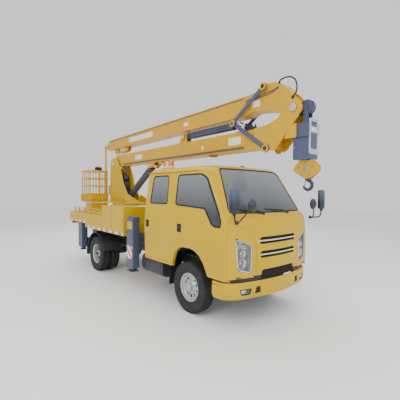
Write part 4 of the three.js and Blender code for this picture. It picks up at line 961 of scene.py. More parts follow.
# the big mirror's rim, from its middle
MIRROR_RIM = [(-72, -120), (-62, -150), (-30, -158), (30, -158), (62, -150), (74, -120), (75, 0), (74, 120),
              (62, 150), (30, 158), (-30, 158), (-62, 150), (-72, 120), (-75, 0)]
for hand, side in SIDES:
    head = Maker()
    rings = []
    for x, grow_by in ((1043, 0.8), (1047, 0.95), (1056, 1), (1074, 1), (1086, 0.96), (1093, 0.84),
                       (1097, 0.55)):
        rings.append([(x, side * (MIRROR_MIDDLE[0] + a * grow_by), MIRROR_MIDDLE[1] + b * (grow_by * 0.3 + 0.7))
                      for a, b in MIRROR_RIM])
    head.loft(rings)
    head.turn([(0.5, 30), (34, 28), (66, 18), (82, 4), (85, -6), (80, -14), (76, -14), (74, -6), (0.5, -6)],
              1100, side * KERB_MIRROR[0], KERB_MIRROR[1], "X", 36)
    head.piece(f"mirror_shell_{hand}", "chassis", slate, "black", 3, replaces=f"mirror_{hand}", segments=3)
    face = Maker()
    face.panel(oblong(side * 948, side * 1082, 1576, 1872, 20), 1040, 1044)
    face.turn([(0.5, 0), (72, 0), (74, 3), (0.5, 3)], 1083, side * KERB_MIRROR[0], KERB_MIRROR[1], "X", 32)
    face.piece(f"mirror_face_{hand}", "chassis", mirror_face, "chrome", 0.8)
    stay = Maker()
    stay.tube([(985, side * 852, 1436), (1010, side * 900, 1436), (1052, side * 962, 1442),
               (1068, side * 1000, 1470), (1069, side * 1015, 1570), (1069, side * 1015, 1700)], 11, 12, 2)
    stay.tube([(1000, side * 872, 1444), (1040, side * 842, 1490), (1074, side * 760, 1590),
               (1092, side * 720, 1650)], 9, 12, 1)
    stay.turn([(26, -10), (28, 0), (24, 8), (16, 18), (16, 30)], 962, side * 858, 1436, "X", 20)
    stay.bolt(988, side * 858, 1436, 13, "X")
    stay.turn([(20, 0), (22, 6), (22, 44), (16, 52)], 1069, side * 1015, 1540, "Z", 16)
    stay.piece(f"mirror_stay_{hand}", "chassis", trim_black, "black", 0.8)


def screen_at(y, z, lift=0):
    """The x of the screen's face at a place on it."""
    for (z0, _, n0, *_), (z1, _, n1, *_) in zip(SECTIONS, SECTIONS[1:]):
        if z0 <= z <= z1:
            return bowed(n0 + (n1 - n0) * (z - z0) / (z1 - z0), y) + lift


wipers = Maker()
for pivot, tip in ((-250, -700), (330, -150)):
    wipers.turn([(20, -20), (22, 0), (18, 14), (8, 18)], screen_at(pivot, 1524, 6), pivot, 1526, "X", 20)
    middle = (pivot + tip) / 2
    outer = tip * 0.4 + middle * 0.6
    wipers.tube([(screen_at(pivot, 1530, 16), pivot, 1530), (screen_at(middle, 1556, 22), middle, 1556),
                 (screen_at(outer, 1572, 15), outer, 1572)], 7, 8, 1)
    line = [pivot - 40 + (tip - pivot + 40) * k / 10 for k in range(11)]
    wipers.tube([(screen_at(y, 1566 + 3 * k, 8), y, 1566 + 3 * k) for k, y in enumerate(line)], 5, 8)
    blade = ((0.5, -3), (7, 0), (7, 5), (0.5, 1))
    wipers.loft([[(screen_at(y, 1560 + 3 * k, lift), y, 1560 + 3 * k + high) for lift, high in blade]
                 for k, y in enumerate(line)])
wipers.piece("wipers", "chassis", trim_black, "black", 0.6)

# ---------------------------------------------------------------- door furniture and roof
# Black dished handles and chromed locks in the doors, moulded cards inside them and a drip rail above;
# on the roof a small orange work beacon and the aerial's foot, and the radiator behind the intake.
for hand, side in SIDES:
    for row, (x, size) in HANDLES.items():
        y, z = side * 931, 1277
        pull = Maker()
        outer = oblong(x - size, x + size, z - 68, z + 62, 20)
        inner = oblong(x - size + 12, x + size - 12, z - 56, z + 50, 14)
        lip = grown(outer, -1)
        rings = ((-19, lip), (1, lip), (2, grown(outer, -5)), (-2, inner), (-14, grown(inner, -6)))
        pull.loft([[(a, y + side * out, b) for a, b in ring] for out, ring in rings])
        grip = ((-12, 36), (2, 32), (6, 12), (4, -14), (0, -16), (1, 8), (-8, 24))
        pull.loft([[(a, y + side * out, z + rise) for out, rise in grip]
                   for a in (x - size + 18, x - size + 24, x + size - 24, x + size - 18)])
        pull.piece(f"{row}_handle_{hand}", f"{row}_door_{hand}_body", trim_black, "black", 1.2)
    lock = Maker()
    lock.turn([(13, -6), (13, 2), (10, 3), (3, 3), (3, 1), (0.5, 1)], -92, side * 933, 1262, "Y", 20, side)
    lock.piece(f"door_lock_{hand}", f"front_door_{hand}_body", chrome, "chrome", 0.5)
    card = Maker()
    card.plate([(-395, 760), (-330, 760), (-250, 960), (330, 1000), (470, 800), (520, 730), (800, 730),
                (800, 1340), (560, 1350), (400, 1560), (-380, 1590)], side * 872, side * 881)
    card.loft([[(x, side * y, z) for y, z in ((880, 1160), (856, 1168), (846, 1190), (850, 1216), (880, 1226))]
               for x in (-300, -290, 200, 215)])
    card.piece(f"front_door_card_{hand}", f"front_door_{hand}_body", cabin_grey, "trim", 2)
    rear_card = Maker()
    rear_card.plate(oblong(-1150, -440, 730, 1600), side * 872, side * 881)
    rear_card.piece(f"rear_door_card_{hand}", f"rear_door_{hand}_body", cabin_grey, "trim", 2)
rails = Maker()
rail = ((-30, 2141), (-8, 2137), (-2, 2141), (-4, 2147), (-30, 2148))
rails.loft([[(x, 893 + out - max(0, x - 250) * 0.42, z) for out, z in rail] for x in (-1150, -800, -400, 0, 200)])
rails.mirrored().piece("drip_rails", "chassis", body_yellow, "yellow", 1)

beacon = Sheet("beacon_lens", Roughness=0.12, Coat_Weight=0.7)
around = beacon.stripes("Z", 44.0)
beacon.set(Base_Color=beacon.blend(around.ramp(0.2, 0.8), tint("C4330C"), tint("F47A2B")))
beacon.bump(around, 0.3, 0.002)
base = Maker()
BEACON_Y = -500
base.box(-1230, -950, BEACON_Y - 60, BEACON_Y + 60, 2222, 2262)
for x in (-1200, -980):
    base.box(x - 12, x + 12, BEACON_Y - 20, BEACON_Y + 20, 2200, 2240)
    base.bolt(x, BEACON_Y, 2262, 12, "Z")
base.piece("beacon_foot", "chassis", body_yellow, "yellow", 3)
lens = Maker()
for x in (-1168, -1012):
    lens.turn([(54, 0), (55, 8), (53, 60), (46, 88), (30, 104), (0.5, 112)], x, BEACON_Y, 2290, "Z", 32)
lens.piece("beacon_lenses", "chassis", beacon, "lamp", 1)
middle = Maker()
hood = ((-50, 2262), (50, 2262), (50, 2290), (34, 2374), (-34, 2374), (-50, 2290))
middle.loft([[(x, BEACON_Y + y, z) for y, z in hood] for x in (-1112, -1068)])
middle.box(-1225, -955, BEACON_Y - 55, BEACON_Y + 55, 2262, 2290)
middle.piece("beacon_bar", "chassis", plastic("beacon_white", tint("E8E8E4"), 0.4), "trim", 3)
aerial = Maker()
aerial.turn([(40, 0), (40, 8), (34, 18), (22, 26), (0.5, 29)], 260, 0, 2222, "Z", 24)
aerial.piece("aerial_foot", "chassis", trim_black, "black", 0.5)
core = Sheet("radiator_core", Metallic=0.6, Roughness=0.55)
fins = core.stripes("Y", 60.0)
core.set(Base_Color=core.blend(fins, tint("0D0E10"), tint("2A2C30")))
core.bump(fins, 0.6, 0.002)
radiator = Maker()
radiator.panel(oblong(520, 850, 560, 720), 700, 712)
radiator.panel(oblong(500, 520, 560, 980), 680, 730)
radiator.mirrored()
radiator.panel(oblong(-520, 520, 430, 960), 688, 716)
radiator.box(700, 930, -800, 800, 700, 706)
radiator.piece("radiator", "chassis", core, "black", 2)

# ---------------------------------------------------------------- cabin
# Foam seats in grey cloth over a step floor, a moulded dash with the wheel on the left, and the black
# rubber flaps behind the front wheels.
seat_cloth = Sheet("seat_cloth", Roughness=0.92, Sheen_Weight=0.25)
weave = seat_cloth.stripes("DIAGONAL", 210.0, 1.5)
wear = seat_cloth.noise(7.0, 4.0)
seat_cloth.set(Base_Color=seat_cloth.blend(weave * 0.4 + wear.ramp(0.3, 0.7, 0.0, 0.5),
                                           tint("4A4E55"), tint("7B8088")))
seat_cloth.bump(weave, 0.35, 0.0006)


def cushion(name, x0, x1, y0, y1, z0, z1, lean=0.0, panels=3):
    """A crowned pad with sewn channels: its top swells between the seams and its sides pull in."""
    rows, columns = 15, 8 * panels
    rings = []
    for i in range(rows):
        u = 2 * i / (rows - 1) - 1
        ring = []
        for j in range(columns + 1):
            v = 2 * j / columns - 1
            seam = abs(math.sin(math.pi * panels * (v + 1) / 2)) ** 0.5
            crown = (1 - abs(u) ** 6) * (1 - abs(v) ** 6)
            side = 1 - 0.05 * (1 - crown)
            top = z0 + (z1 - z0) * (0.42 + 0.46 * crown ** 0.5 + 0.12 * seam * crown)
            ring.append(((x0 + x1) / 2 + side * u * (x1 - x0) / 2,
                         (y0 + y1) / 2 + side * v * (y1 - y0) / 2, top))
        x = (x0 + x1) / 2 + 0.47 * u * (x1 - x0)
        rings.append(ring + [(x, (y0 + y1) / 2 + 0.47 * v * (y1 - y0), z0) for v in (1, -1)])
    sine, cosine = math.sin(lean), math.cos(lean)
    maker = Maker()
    maker.loft([[((x - x0) * cosine - (z - z0) * sine + x0, y, (x - x0) * sine + (z - z0) * cosine + z0)
                 for x, y, z in ring] for ring in rings])
    pad = maker.piece(name, "chassis", seat_cloth, "seat", sharp=60)
    finer = pad.modifiers.new("foam", "SUBSURF")
    finer.levels = finer.render_levels = 1


UPRIGHT = math.radians(98)
cushion("bench_pad", -985, -545, -640, 640, 1010, 1120, panels=6)
cushion("bench_back", -1000, -480, -640, 640, 1110, 1220, UPRIGHT, 6)
for name, y, half in (("driver", 500, 235), ("mate", -430, 275)):
    cushion(f"{name}_pad", -145, 295, y - half, y + half, 1225, 1340, panels=3)
    cushion(f"{name}_back", -140, 380, y - half, y + half, 1335, 1440, UPRIGHT, 3)
base = Maker()
base.plate(oblong(-990, -550, 821, 1008), -600, 600)
base.plate([(-1105, 1110), (-1088, 1100), (-1150, 1640), (-1168, 1640)], -600, 600)
base.piece("bench_base", "chassis", cabin_grey, "trim", 8, replaces="rear_bench")
base = Maker()
for y, half in ((500, 215), (-430, 255)):
    base.plate([(-150, 1041), (285, 1041), (270, 1222), (-140, 1222)], y - half, y + half)
    base.plate([(-215, 1330), (-200, 1320), (-285, 1860), (-298, 1860)], y - half + 20, y + half - 20)
base.plate([(-120, 1041), (280, 1041), (270, 1150), (-110, 1150)], -150, 262)
base.piece("seat_bases", "chassis", cabin_grey, "trim", 8, replaces="front_seats")
dash = Maker()
profile = [(780, 1045), (640, 1045), (560, 1180), (470, 1240), (440, 1400), (470, 1500), (540, 1560), (640, 1575),
           (700, 1530), (780, 1500)]
dash.loft([[(x + (0 if abs(y) < 600 else 20), y, z) for x, z in profile]
           for y in (-745, -600, -560, 560, 600, 745)])
dash.turn([(0.5, 60), (112, 60), (118, 50), (118, -30), (0.5, -30)], 520, 500, 1540, "X", 28, -1)
dash.piece("dash", "chassis", cabin_grey, "trim", 14, replaces="dashboard", segments=3)
steering = Maker()
middle, tilt = Vector((415, 500, 1530)), math.radians(62)


def on_wheel(radius, angle, lift=0.0):
    """A place on the tilted wheel: degrees round its middle, and height above its plane."""
    a, b = radius * math.cos(math.radians(angle)), radius * math.sin(math.radians(angle))
    return tuple(middle + Vector((-b * math.cos(tilt) - lift * math.sin(tilt), a,
                                  b * math.sin(tilt) + lift * math.cos(tilt))))


steering.tube([on_wheel(190, 9 * k) for k in range(41)], 13, 10)
for angle in (90, 210, 330):
    steering.tube([on_wheel(40, angle, -14), on_wheel(120, angle, -8), on_wheel(186, angle)], 11, 8)
steering.tube([on_wheel(0, 0, 6), on_wheel(0, 0, -18)], 56, 20)
steering.tube([on_wheel(0, 0, -10), (520, 500, 1450), (560, 500, 1400)], 26, 14)
steering.piece("steering_wheel", "chassis", trim_black, "black", 1)
flap_rubber = plastic("flap_rubber", tint("141517"), 0.82, 260.0)
flaps = Maker()
hem = [(640 + 24.8 * k, 322 + (9 if k % 2 else 0) + (k * 7 % 5)) for k in range(11)]
flaps.panel([(640, 672)] + hem + [(888, 672)], -486, -478)
flaps.panel(oblong(650, 880, 660, 638), -477, -472)
for y in (670, 765, 860):
    flaps.bolt(-472, y, 649, 12, "X")
flaps.mirrored().piece("front_mud_flaps", "chassis", flap_rubber, "rubber", 1)

# ---------------------------------------------------------------- deck and equipment box
# Folded steel body in yellow: a chequer-plate floor, deep skirts with red and white hazard tape, a low
# fence of square tube, the rest locker, and the tall box behind the cab with hinged doors.
def tread_plate(name):
    """Chequer plate: raised lozenges in a crossed pattern, worn bright on their tops."""
    sheet = Sheet(name, Metallic=0.0)
    x, y, z = sheet.axes()
    a = ((x + y) * 26.0).math("FRACT")
    b = ((x - y) * 26.0).math("FRACT")
    odd = ((((x + y) * 26.0).math("FLOOR") + ((x - y) * 26.0).math("FLOOR")) * 0.5).math("FRACT") > 0.25
    off_a, off_b = (a - 0.5).math("ABSOLUTE"), (b - 0.5).math("ABSOLUTE")
    long_a = off_a.ramp(0.36, 0.42, 1.0, 0.0) * off_b.ramp(0.1, 0.16, 1.0, 0.0)
    long_b = off_b.ramp(0.36, 0.42, 1.0, 0.0) * off_a.ramp(0.1, 0.16, 1.0, 0.0)
    lozenge = long_a * odd + long_b * (1 - odd)
    dirt = sheet.noise(5.0, 6.0, 0.65)
    settled = dirt.ramp(0.4, 0.75, 0.0, 0.6) * (1 - lozenge * 0.7)
    sheet.set(Base_Color=sheet.blend(settled, shade(YELLOW, 0.95), ROAD_DUST),
              Roughness=dirt.ramp(0.3, 0.7, 0.4, 0.7))
    sheet.bump(lozenge + dirt * 0.15, 0.6, 0.002)
    return sheet


def hazard(name, first, second, pitch, lean=1.0):
    """Reflective tape in slanted bands of two colours, with a fine prism grid under its film."""
    sheet = Sheet(name, Roughness=0.3, Coat_Weight=0.4)
    x, y, z = sheet.axes()
    stripe = ((x + y + z * lean) / pitch).math("FRACT") < 0.5
    grime = sheet.noise(16.0, 5.0, 0.6).ramp(0.45, 0.8, 0.0, 0.5)
    sheet.set(Base_Color=sheet.blend(grime, sheet.blend(stripe, first, second), ROAD_DUST))
    sheet.bump(sheet.cells(420.0), 0.2, 0.0004)
    return sheet


deck_floor = tread_plate("deck_tread")
tape = hazard("red_white_tape", tint("C8201C"), tint("EDEDEA"), 0.3, 0.0)
deck = Maker()
deck.plate([(-5098, 1284), (-5098, 1056), (-5090, 1041), (-3985, 1041), (-3972, 950), (-2977, 950),
            (-2977, 1284)], 962, 987)
deck.plate(oblong(-5098, -2977, 1262, 1291), 940, 990)
for x in (-4700, -4250, -3700, -3300):
    deck.box(x - 12, x + 12, 986, 989, 1060, 1258)
deck.mirrored().slab(oblong(-5095, -2978, -985, 985), 1262, 1289)
deck.panel(oblong(-960, 960, 1044, 1286), -5099, -5075)
deck.piece("deck_body", "chassis", body_yellow, "yellow", 4, replaces="rear_deck")
tread = Maker().slab(oblong(-5070, -2985, -935, 935), 1289.5, 1293)
tread.piece("deck_tread", "chassis", deck_floor, "yellow", 1)
fence = Maker()
for z in (1412, 1352):
    fence.box(-4780, -3010, 958, 982, z - 12, z + 12)
for x in (-4768, -4420, -4070, -3720, -3370, -3022):
    fence.box(x - 14, x + 14, 955, 985, 1288, 1424)
    fence.box(x - 24, x + 24, 946, 988, 1291, 1297)
fence.mirrored().piece("deck_fence", "chassis", body_yellow, "yellow", 3)
locker = Maker().box(-4900, -4500, -640, -180, 1294, 1500)
locker.box(-4906, -4494, -646, -174, 1484, 1512)
for y in (-560, -260):
    locker.box(-4496, -4488, y - 24, y + 24, 1452, 1500)
locker.piece("rest_locker", "chassis", body_yellow, "yellow", 5)
tape_strip = Maker()
for x0, x1, z, y0, y1 in ((-3960, -2990, 962, 987, 988.2), (-5080, -3990, 1050, 987, 988.2),
                          (-2965, -1935, 962, 988, 989.4)):
    tape_strip.plate(oblong(x0, x1, z, z + 44), y0, y1)
tape_strip.mirrored().panel(oblong(-900, 900, 1060, 1104), -5100, -5099)
tape_strip.piece("hazard_tape", "chassis", tape, "trim")
body_box, fittings = Maker(), Maker()
for x0, x1 in ((-2950, -2470), (-2440, -1952)):
    body_box.plate(oblong(x0, x1, 1018, 1478, 16), 983, 988)
    body_box.plate(oblong(x0 + 60, x1 - 60, 1078, 1418, 26), 987, 989.4)
    fittings.plate(oblong(x1 - 50, x1 - 14, 1230, 1300, 8), 986, 990)
    for z in (1090, 1400):
        fittings.turn([(6, -26), (7, -24), (7, 24), (6, 26)], x0 - 4, 983, z, "Z", 12)
body_box.mirrored().box(-2974, -1926, -984, 984, 950, 1508)
body_box.slab(oblong(-2975, -1925, -989, 989, 14), 1490, 1519)
body_box.piece("box_body", "chassis", body_yellow, "yellow", 3, replaces="equipment_box")
fittings.turn([(0.5, 0), (46, 0), (50, -6), (50, -24), (0.5, -24)], -5078, 800, 1180, "X", 24)
fittings.mirrored().panel(oblong(-230, 230, 1120, 1240), -5100, -5098.5)
fittings.piece("box_fittings", "chassis", zinc, "cast", 0.8)
lights = Maker().box(-5092, -5060, 640, 940, 960, 1042)
for y in (690, 790, 890):
    lights.turn([(0.5, 10), (30, 8), (38, 2), (38, -6), (0.5, -6)], -5091, y, 1010, "X", 24, -1)
lights.mirrored().piece("rear_lights", "chassis", amber, "lamp", 2)
hem = [(540 + 35 * k, 308 if k % 2 else 300) for k in range(13)]
flaps = Maker().panel([(540, 700)] + hem + [(960, 700)], -3945, -3937)
flaps.mirrored().piece("rear_mud_flaps", "chassis", flap_rubber, "rubber", 1)

# ---------------------------------------------------------------- jacks
# Two out-and-down jacks behind the cab and two straight-down jacks at the tail: slate blue box sections
# on greased sliding faces, with bolted caps, warning plates and swivelling foot plates.
slate_steel = satin("slate_steel", tint("444E68"))
bright_rod = Sheet("bright_rod", Metallic=1.0, Anisotropic=0.4)
bright_rod.set(Base_Color=bright_rod.blend(bright_rod.noise(8.0), tint("B8BDC3"), tint("E4E7EA")),
               Roughness=bright_rod.noise(60.0, 4.0).ramp(0.3, 0.8, 0.1, 0.28))
bright_rod.bump(bright_rod.noise(220.0), 0.06, 0.0003)
warning_plate = hazard("warning_plate", tint("E2231A"), tint("F2F2EE"), 0.16)
JACK_Y = 922
for hand, side in SIDES:
    arm, leg_body = f"jack_arm_{hand}", f"front_leg_{hand}"
    sleeve = Maker().slab(oblong(-1778, -1532, side * 847, side * 993, 16), 402, 1340).tool()
    hollow = Maker().slab(oblong(-1763, -1547, side * 858, side * 982), 380, 1320).tool()
    finished(sawn(sleeve, hollow), f"jack_sleeve_{hand}", arm, slate_steel, "grey", 3,
             replaces=f"front_jack_arm_{hand}")
    collars = Maker()
    for z in (402, 1044, 1306):
        for y0, y1 in ((845, 857), (983, 996)):
            collars.slab(oblong(-1780, -1530, side * y0, side * y1, 4), z, z + 16)
        for x in (-1780, -1546):
            collars.slab(oblong(x, x + 16, side * 857, side * 983), z, z + 16)
    collars.slab(oblong(-1774, -1536, side * 851, side * 989, 14), 1338, 1347)
    collars.plate(oblong(-1730, -1580, 938, 1014), side * 22, side * 850)
    collars.piece(f"jack_beam_{hand}", arm, slate_steel, "grey", 2)
    bolts = Maker()
    for x, y in ((-1752, 868), (-1558, 868), (-1752, 972), (-1558, 972)):
        bolts.bolt(x, side * y, 1346.5, 16, "Z", high=3)
    for x, z in ((-1764, 1100), (-1546, 1100), (-1764, 900), (-1546, 900)):
        bolts.bolt(x, side * 993, z, 12, "Y", side, 2.8)
    bolts.piece(f"jack_bolts_{hand}", arm, zinc, "cast")
    for name, outline, sheet, slot in (("warning", oblong(-1756, -1554, 560, 800), warning_plate, "trim"),
                                       ("sign", oblong(-1750, -1560, 1120, 1262), body_yellow, "yellow")):
        Maker().plate(outline, side * 992, side * 994.5).piece(f"jack_{name}_{hand}", arm, sheet, slot)
    leg = Maker().slab(oblong(-1757, -1553, side * 864, side * 976, 14), 368, 1286)
    leg.turn([(0.5, 34), (38, 34), (46, 24), (46, 0), (38, -8), (0.5, -8)], -1655, side * JACK_Y, 345, "Z", 28)
    leg.piece(f"front_leg_tube_{hand}", leg_body, slate_steel, "grey", 3, replaces=f"front_jack_leg_{hand}")
    foot = Maker().slab(oblong(-1765, -1545, side * 847, side * 1001, 26), 326, 336)
    foot.slab(oblong(-1745, -1565, side * 866, side * 982, 20), 334, 342)
    foot.piece(f"front_foot_{hand}", leg_body, cast_iron, "cast", 2)
    rear = Maker().slab(oblong(-4375, -4205, side * 875, side * 970, 16), 392, 962)
    rear.turn([(0.5, 20), (40, 20), (48, 10), (48, -14), (0.5, -14)], -4290, side * JACK_Y, 386, "Z", 28)
    rear.slab(oblong(-4395, -4185, side * 850, side * 990, 26), 358, 370)
    rear.piece(f"rear_leg_tube_{hand}", f"rear_leg_{hand}", slate_steel, "grey", 3,
               replaces=f"rear_jack_leg_{hand}")
dress("front_jack_housing", slate_steel, 4)
dress("rear_jack_housing", slate_steel, 6)
marks = Maker().box(-4360, -4220, 990, 995.5, 860, 1000)
for x, z in ((-4180, 500), (-4400, 760), (-4180, 1000)):
    marks.bolt(x, 991, z, 14, high=4)
marks.mirrored().piece("rear_jack_plates", "chassis", zinc, "cast", 0.6)

# ---------------------------------------------------------------- turntable
# A bolted slewing ring on a yellow drum carries two tall tower plates with ribs, the lower boom's pin
# and the lift cylinder's foot. Valves, hoses, a hose reel and a grey control box hang on it.
SLEW_X = -3550
# pins in the tower, as (x, z)
BOOM_FOOT = (-4120, 2540)
LIFT_FOOT = (-3555, 1690)
dress("slew_pedestal", body_yellow, 3)
dress("turret", body_yellow, 4)
dress("valve_block", cast_iron, 3)
ring = Maker()
for a, b in circle(400, 28, 0.5):
    ring.bolt(SLEW_X + a, b, 1294, 22, "Z", 1, 9)
ring.turn([(431, 1500), (431, 1528), (436, 1524), (436, 1504)], SLEW_X, 0, 0, "Z", 64)
ring.piece("pedestal_bolts", "chassis", zinc, "cast", 0.5)
tower = Maker()
tower.turn([(0.5, 0), (30, 0), (34, -4), (46, -4), (50, -10), (50, -22), (0.5, -22)],
           BOOM_FOOT[0], 206, BOOM_FOOT[1])
tower.turn([(12, 0), (34, 0), (34, 3), (26, 6), (12, 6)], -3830, 182, 2085, "Y", 28)
tower.turn([(0.5, 0), (18, 0), (20, 5), (10, 8), (0.5, 8)], LIFT_FOOT[0], 130, LIFT_FOOT[1], "Y", 20)
for a, b in ((80, -70), (-80, -70), (-80, 70), (80, 70)):
    tower.bolt(BOOM_FOOT[0] + a, 170, BOOM_FOOT[1] + b, 16, high=8)
for x in (-3250, -3050, -2850):
    tower.bolt(x, 270, 1564, 18, "Z", 1, 8)
tower.mirrored().piece("tower_pins", "turntable", bright_rod, "chrome", 0.6)
ribs = Maker().plate([(-4330, 1566), (-4290, 1566), (-4290, 2300), (-4330, 2340)], 169, 182)
ribs.plate(oblong(-4280, -3480, 1566, 1582), 169, 230)
for x in (-4180, -3960, -3740, -3540):
    ribs.panel([(170, 1580), (228, 1580), (170, 1680)], x - 5, x + 5)
ribs.mirrored().piece("tower_ribs", "turntable", body_yellow, "yellow", 2)
grey_box = plastic("control_box_grey", tint("9AA0A6"), 0.5)
cabinet = Maker().box(-4442, -4362, -192, -38, 1738, 1992)
cabinet.box(-4447, -4441, -184, -46, 1748, 1982)
cabinet.turn([(0.5, 12), (14, 12), (18, 6), (18, -2), (0.5, -2)], -4447, -150, 1950, "X", 16, -1)
for z in (1860, 1900):
    cabinet.turn([(0.5, 10), (9, 10), (11, 0), (0.5, 0)], -4447, -90, z, "X", 12, -1)
cabinet.piece("ground_controls", "turntable", grey_box, "grey", 4)
valves = Maker()
for x in range(-3985, -3700, 48):
    valves.box(x, x + 40, -96, 96, 1801, 1880)
    valves.turn([(16, 0), (16, 60), (11, 66), (11, 90), (0.5, 92)], x + 20, 40, 1878, "Z", 14)
    valves.rod((x + 20, -60, 1878), (x + 6, -80, 1985), 5)
    valves.turn([(0.5, -12), (9, -8), (12, 0), (9, 8), (0.5, 12)], x + 5, -82, 1990, "Z", 12)
valves.piece("lever_valves", "turntable", trim_black, "black", 1)
REEL = (-3860, 0, 2190)
reel = Maker()
reel.turn([(30, -46), (96, -46), (98, -40), (98, -34), (74, -32), (74, 32), (98, 34), (98, 40), (96, 46),
           (30, 46)], *REEL, "Y", 44)
reel.turn([(0.5, -60), (28, -60), (28, 60), (0.5, 60)], *REEL, "Y", 24)
for y in (-66, 60):
    reel.plate([(-3930, 2082), (-3790, 2082), (-3835, 2190), (-3885, 2190)], y, y + 6)
reel.rod((-3860, 60, 2190), (-3860, 138, 2190), 18, 16)
reel.piece("hose_reel", "turntable", slate_steel, "grey", 1)
black_hose = Sheet("black_hose")
black_hose.set(Base_Color=black_hose.blend(black_hose.noise(18.0), tint("121316"), tint("2C2F34")),
               Roughness=black_hose.noise(12.0).ramp(0.3, 0.7, 0.42, 0.62))
black_hose.bump(black_hose.stripes("DIAGONAL", 150.0), 0.2, 0.0006)
pipes = Maker()
for k in range(5):
    y = -60 + 30 * k
    pipes.tube([(-3990 + 48 * k, y * 0.6, 1962), (-4010 + 30 * k, y, 2060), (-4060 + 20 * k, y, 2200),
                (-4110 + 12 * k, y, 2330), (-4150 + 8 * k, y, 2420)], 9, 8, 2)
pipes.piece("tower_pipes", "turntable", black_hose, "black")

# ---------------------------------------------------------------- booms
# Two welded box girders in ochre, folded at the elbow: side plates with rounded corners and weld seams,
# bolted covers, pipe clips, blank name plates, and the levelling cylinder under the upper boom's tip.
# more pins, as (x, z)
ELBOW = (1290, 2955)
LINK_LOW = (845, 2462)
LINK_HIGH = (806, 3345)
LINK_MEET = (205, 2912)
ELBOW_CYLINDER = (-1240, 2902)
LIFT_HEAD = (-2430, 2420)
ochre = gloss("boom_ochre", tint("CC9E1C"), 0.05)
dress("lower_boom", ochre, 5, 3)
dress("upper_boom", ochre, 5, 3)
dress("elbow_pin", bright_rod, 3)
dress("tip_pin", bright_rod, 2)
blank_plate = Sheet("blank_plate", Roughness=0.45)
scuffs = blank_plate.noise(12.0, 5.0, 0.65)
blank_plate.set(Base_Color=blank_plate.blend(scuffs.ramp(0.45, 0.75, 0.0, 0.4), tint("F0EBDD"), tint("B9AE93")))
blank_plate.bump(scuffs, 0.1, 0.0004)


def weld(maker, start, end, size=5):
    """A fillet weld bead with its ripples."""
    a, b = Vector(start), Vector(end)
    steps = max(2, int((b - a).length / 40))
    line = [a.lerp(b, k / steps) + Vector((0, 0, 0.8 if k % 2 else -0.8)) for k in range(steps + 1)]
    return maker.tube(line, size, 6)


def washer(maker, inner, outer, x, y, z):
    """A flat ring with eased edges, standing outwards from a side plate."""
    return maker.turn([(inner, 0), (outer, 0), (outer + 2, 3), (outer, 6), (inner, 6)], x, y, z, "Y", 36)


def upper_low(x):
    """The height of the upper boom's lower edge."""
    return 2950 + 54 * (x + 4600) / 5040


def upper_top(x):
    return 3205 + 95 * (x + 4600) / 5040


seams = Maker()
for z in (2479, 2768):
    weld(seams, (-3780, 113, z), (600, 113, z))
for x in (-3780, -2700, -900, 590):
    weld(seams, (x, 114, 2482), (x, 114, 2766), 4)
seams.mirrored().piece("lower_seams", "low_boom", ochre, "yellow")
trims = Maker()
for x in (-3300, -2200, -1600, -600, 300):
    trims.box(x - 16, x + 16, 112, 122, 2506, 2532)
    trims.bolt(x, 121, 2519, 9, high=5)
trims.tube([(-3700, 126, 2512), (-3000, 126, 2512), (400, 126, 2512)], 7, 8)
trims.tube([(-3700, 126, 2530), (-2000, 126, 2530), (400, 126, 2530)], 5, 8)
trims.mirrored().box(-470, -390, -60, 60, 2448, 2476)
trims.piece("lower_pipes", "low_boom", slate_steel, "grey", 1)
labels = Maker()
for x0, x1, z0, z1 in ((-3080, -2760, 2590, 2690), (-620, -560, 2590, 2640), (60, 330, 2580, 2700)):
    labels.plate(oblong(x0, x1, z0, z1, 8), 114, 116.2)
labels.mirrored().piece("lower_plates", "low_boom", blank_plate, "trim", 0.5)
bosses = Maker()
bosses.turn([(38, 0), (58, 0), (60, 4), (60, 12), (54, 16), (38, 16)],
            ELBOW_CYLINDER[0], 74, ELBOW_CYLINDER[1], "Y", 36)
bosses.turn([(36, 0), (56, 0), (58, 4), (58, 6), (36, 6)], LINK_LOW[0], 141, LINK_LOW[1], "Y", 36)
bosses.turn([(40, 0), (62, 0), (64, 5), (58, 9), (40, 9)], LIFT_HEAD[0], 86, LIFT_HEAD[1], "Y", 36)
bosses.mirrored().piece("lower_bosses", "low_boom", ochre, "yellow", 1)
seams = Maker()
for edge, shift in ((upper_low, 4), (upper_top, -4)):
    weld(seams, (-4560, 113, edge(-4560) + shift), (400, 113, edge(400) + shift))
for x in (-4560, -3100, -1700, -300, 430):
    weld(seams, (x, 114, upper_low(x) + 8), (x, 114, upper_top(x) - 8), 4)
weld(seams, (470, 114, 3040), (470, 114, 3296), 4)
seams.mirrored().piece("upper_seams", "high_boom", ochre, "yellow")
clips = Maker()
for x in range(-4200, 0, 800):
    z = upper_top(x) - 26
    clips.box(x - 14, x + 14, 112, 121, z - 14, z + 12)
    clips.bolt(x, 120, z, 9, high=5)
clips.tube([(x, 125, upper_top(x) - 26) for x in (-4500, -3000, -1500, 0, 380)], 6, 8)
clips.mirrored().piece("upper_pipes", "high_boom", slate_steel, "grey", 1)
labels = Maker()
for x0, x1, low, high in ((-3400, -2300, 70, 180), (-1150, -1020, 90, 160), (560, 700, 90, 190)):
    z0, z1 = upper_low(x0), upper_low(x1)
    labels.plate(rounded([(x0, z0 + low), (x1, z1 + low), (x1, z1 + high), (x0, z0 + high)], 10), 114, 116.2)
labels.mirrored().piece("upper_plates", "high_boom", blank_plate, "trim", 0.5)
bosses = Maker()
bosses.turn([(36, 0), (56, 0), (58, 4), (58, 10), (52, 13), (36, 13)], LINK_HIGH[0], 115, LINK_HIGH[1], "Y", 36)
bosses.turn([(62, 0), (92, 0), (94, 3), (94, 4.5), (62, 4.5)], ELBOW[0], 115, ELBOW[1], "Y", 44)
bosses.mirrored().piece("upper_bosses", "high_boom", ochre, "yellow", 1)

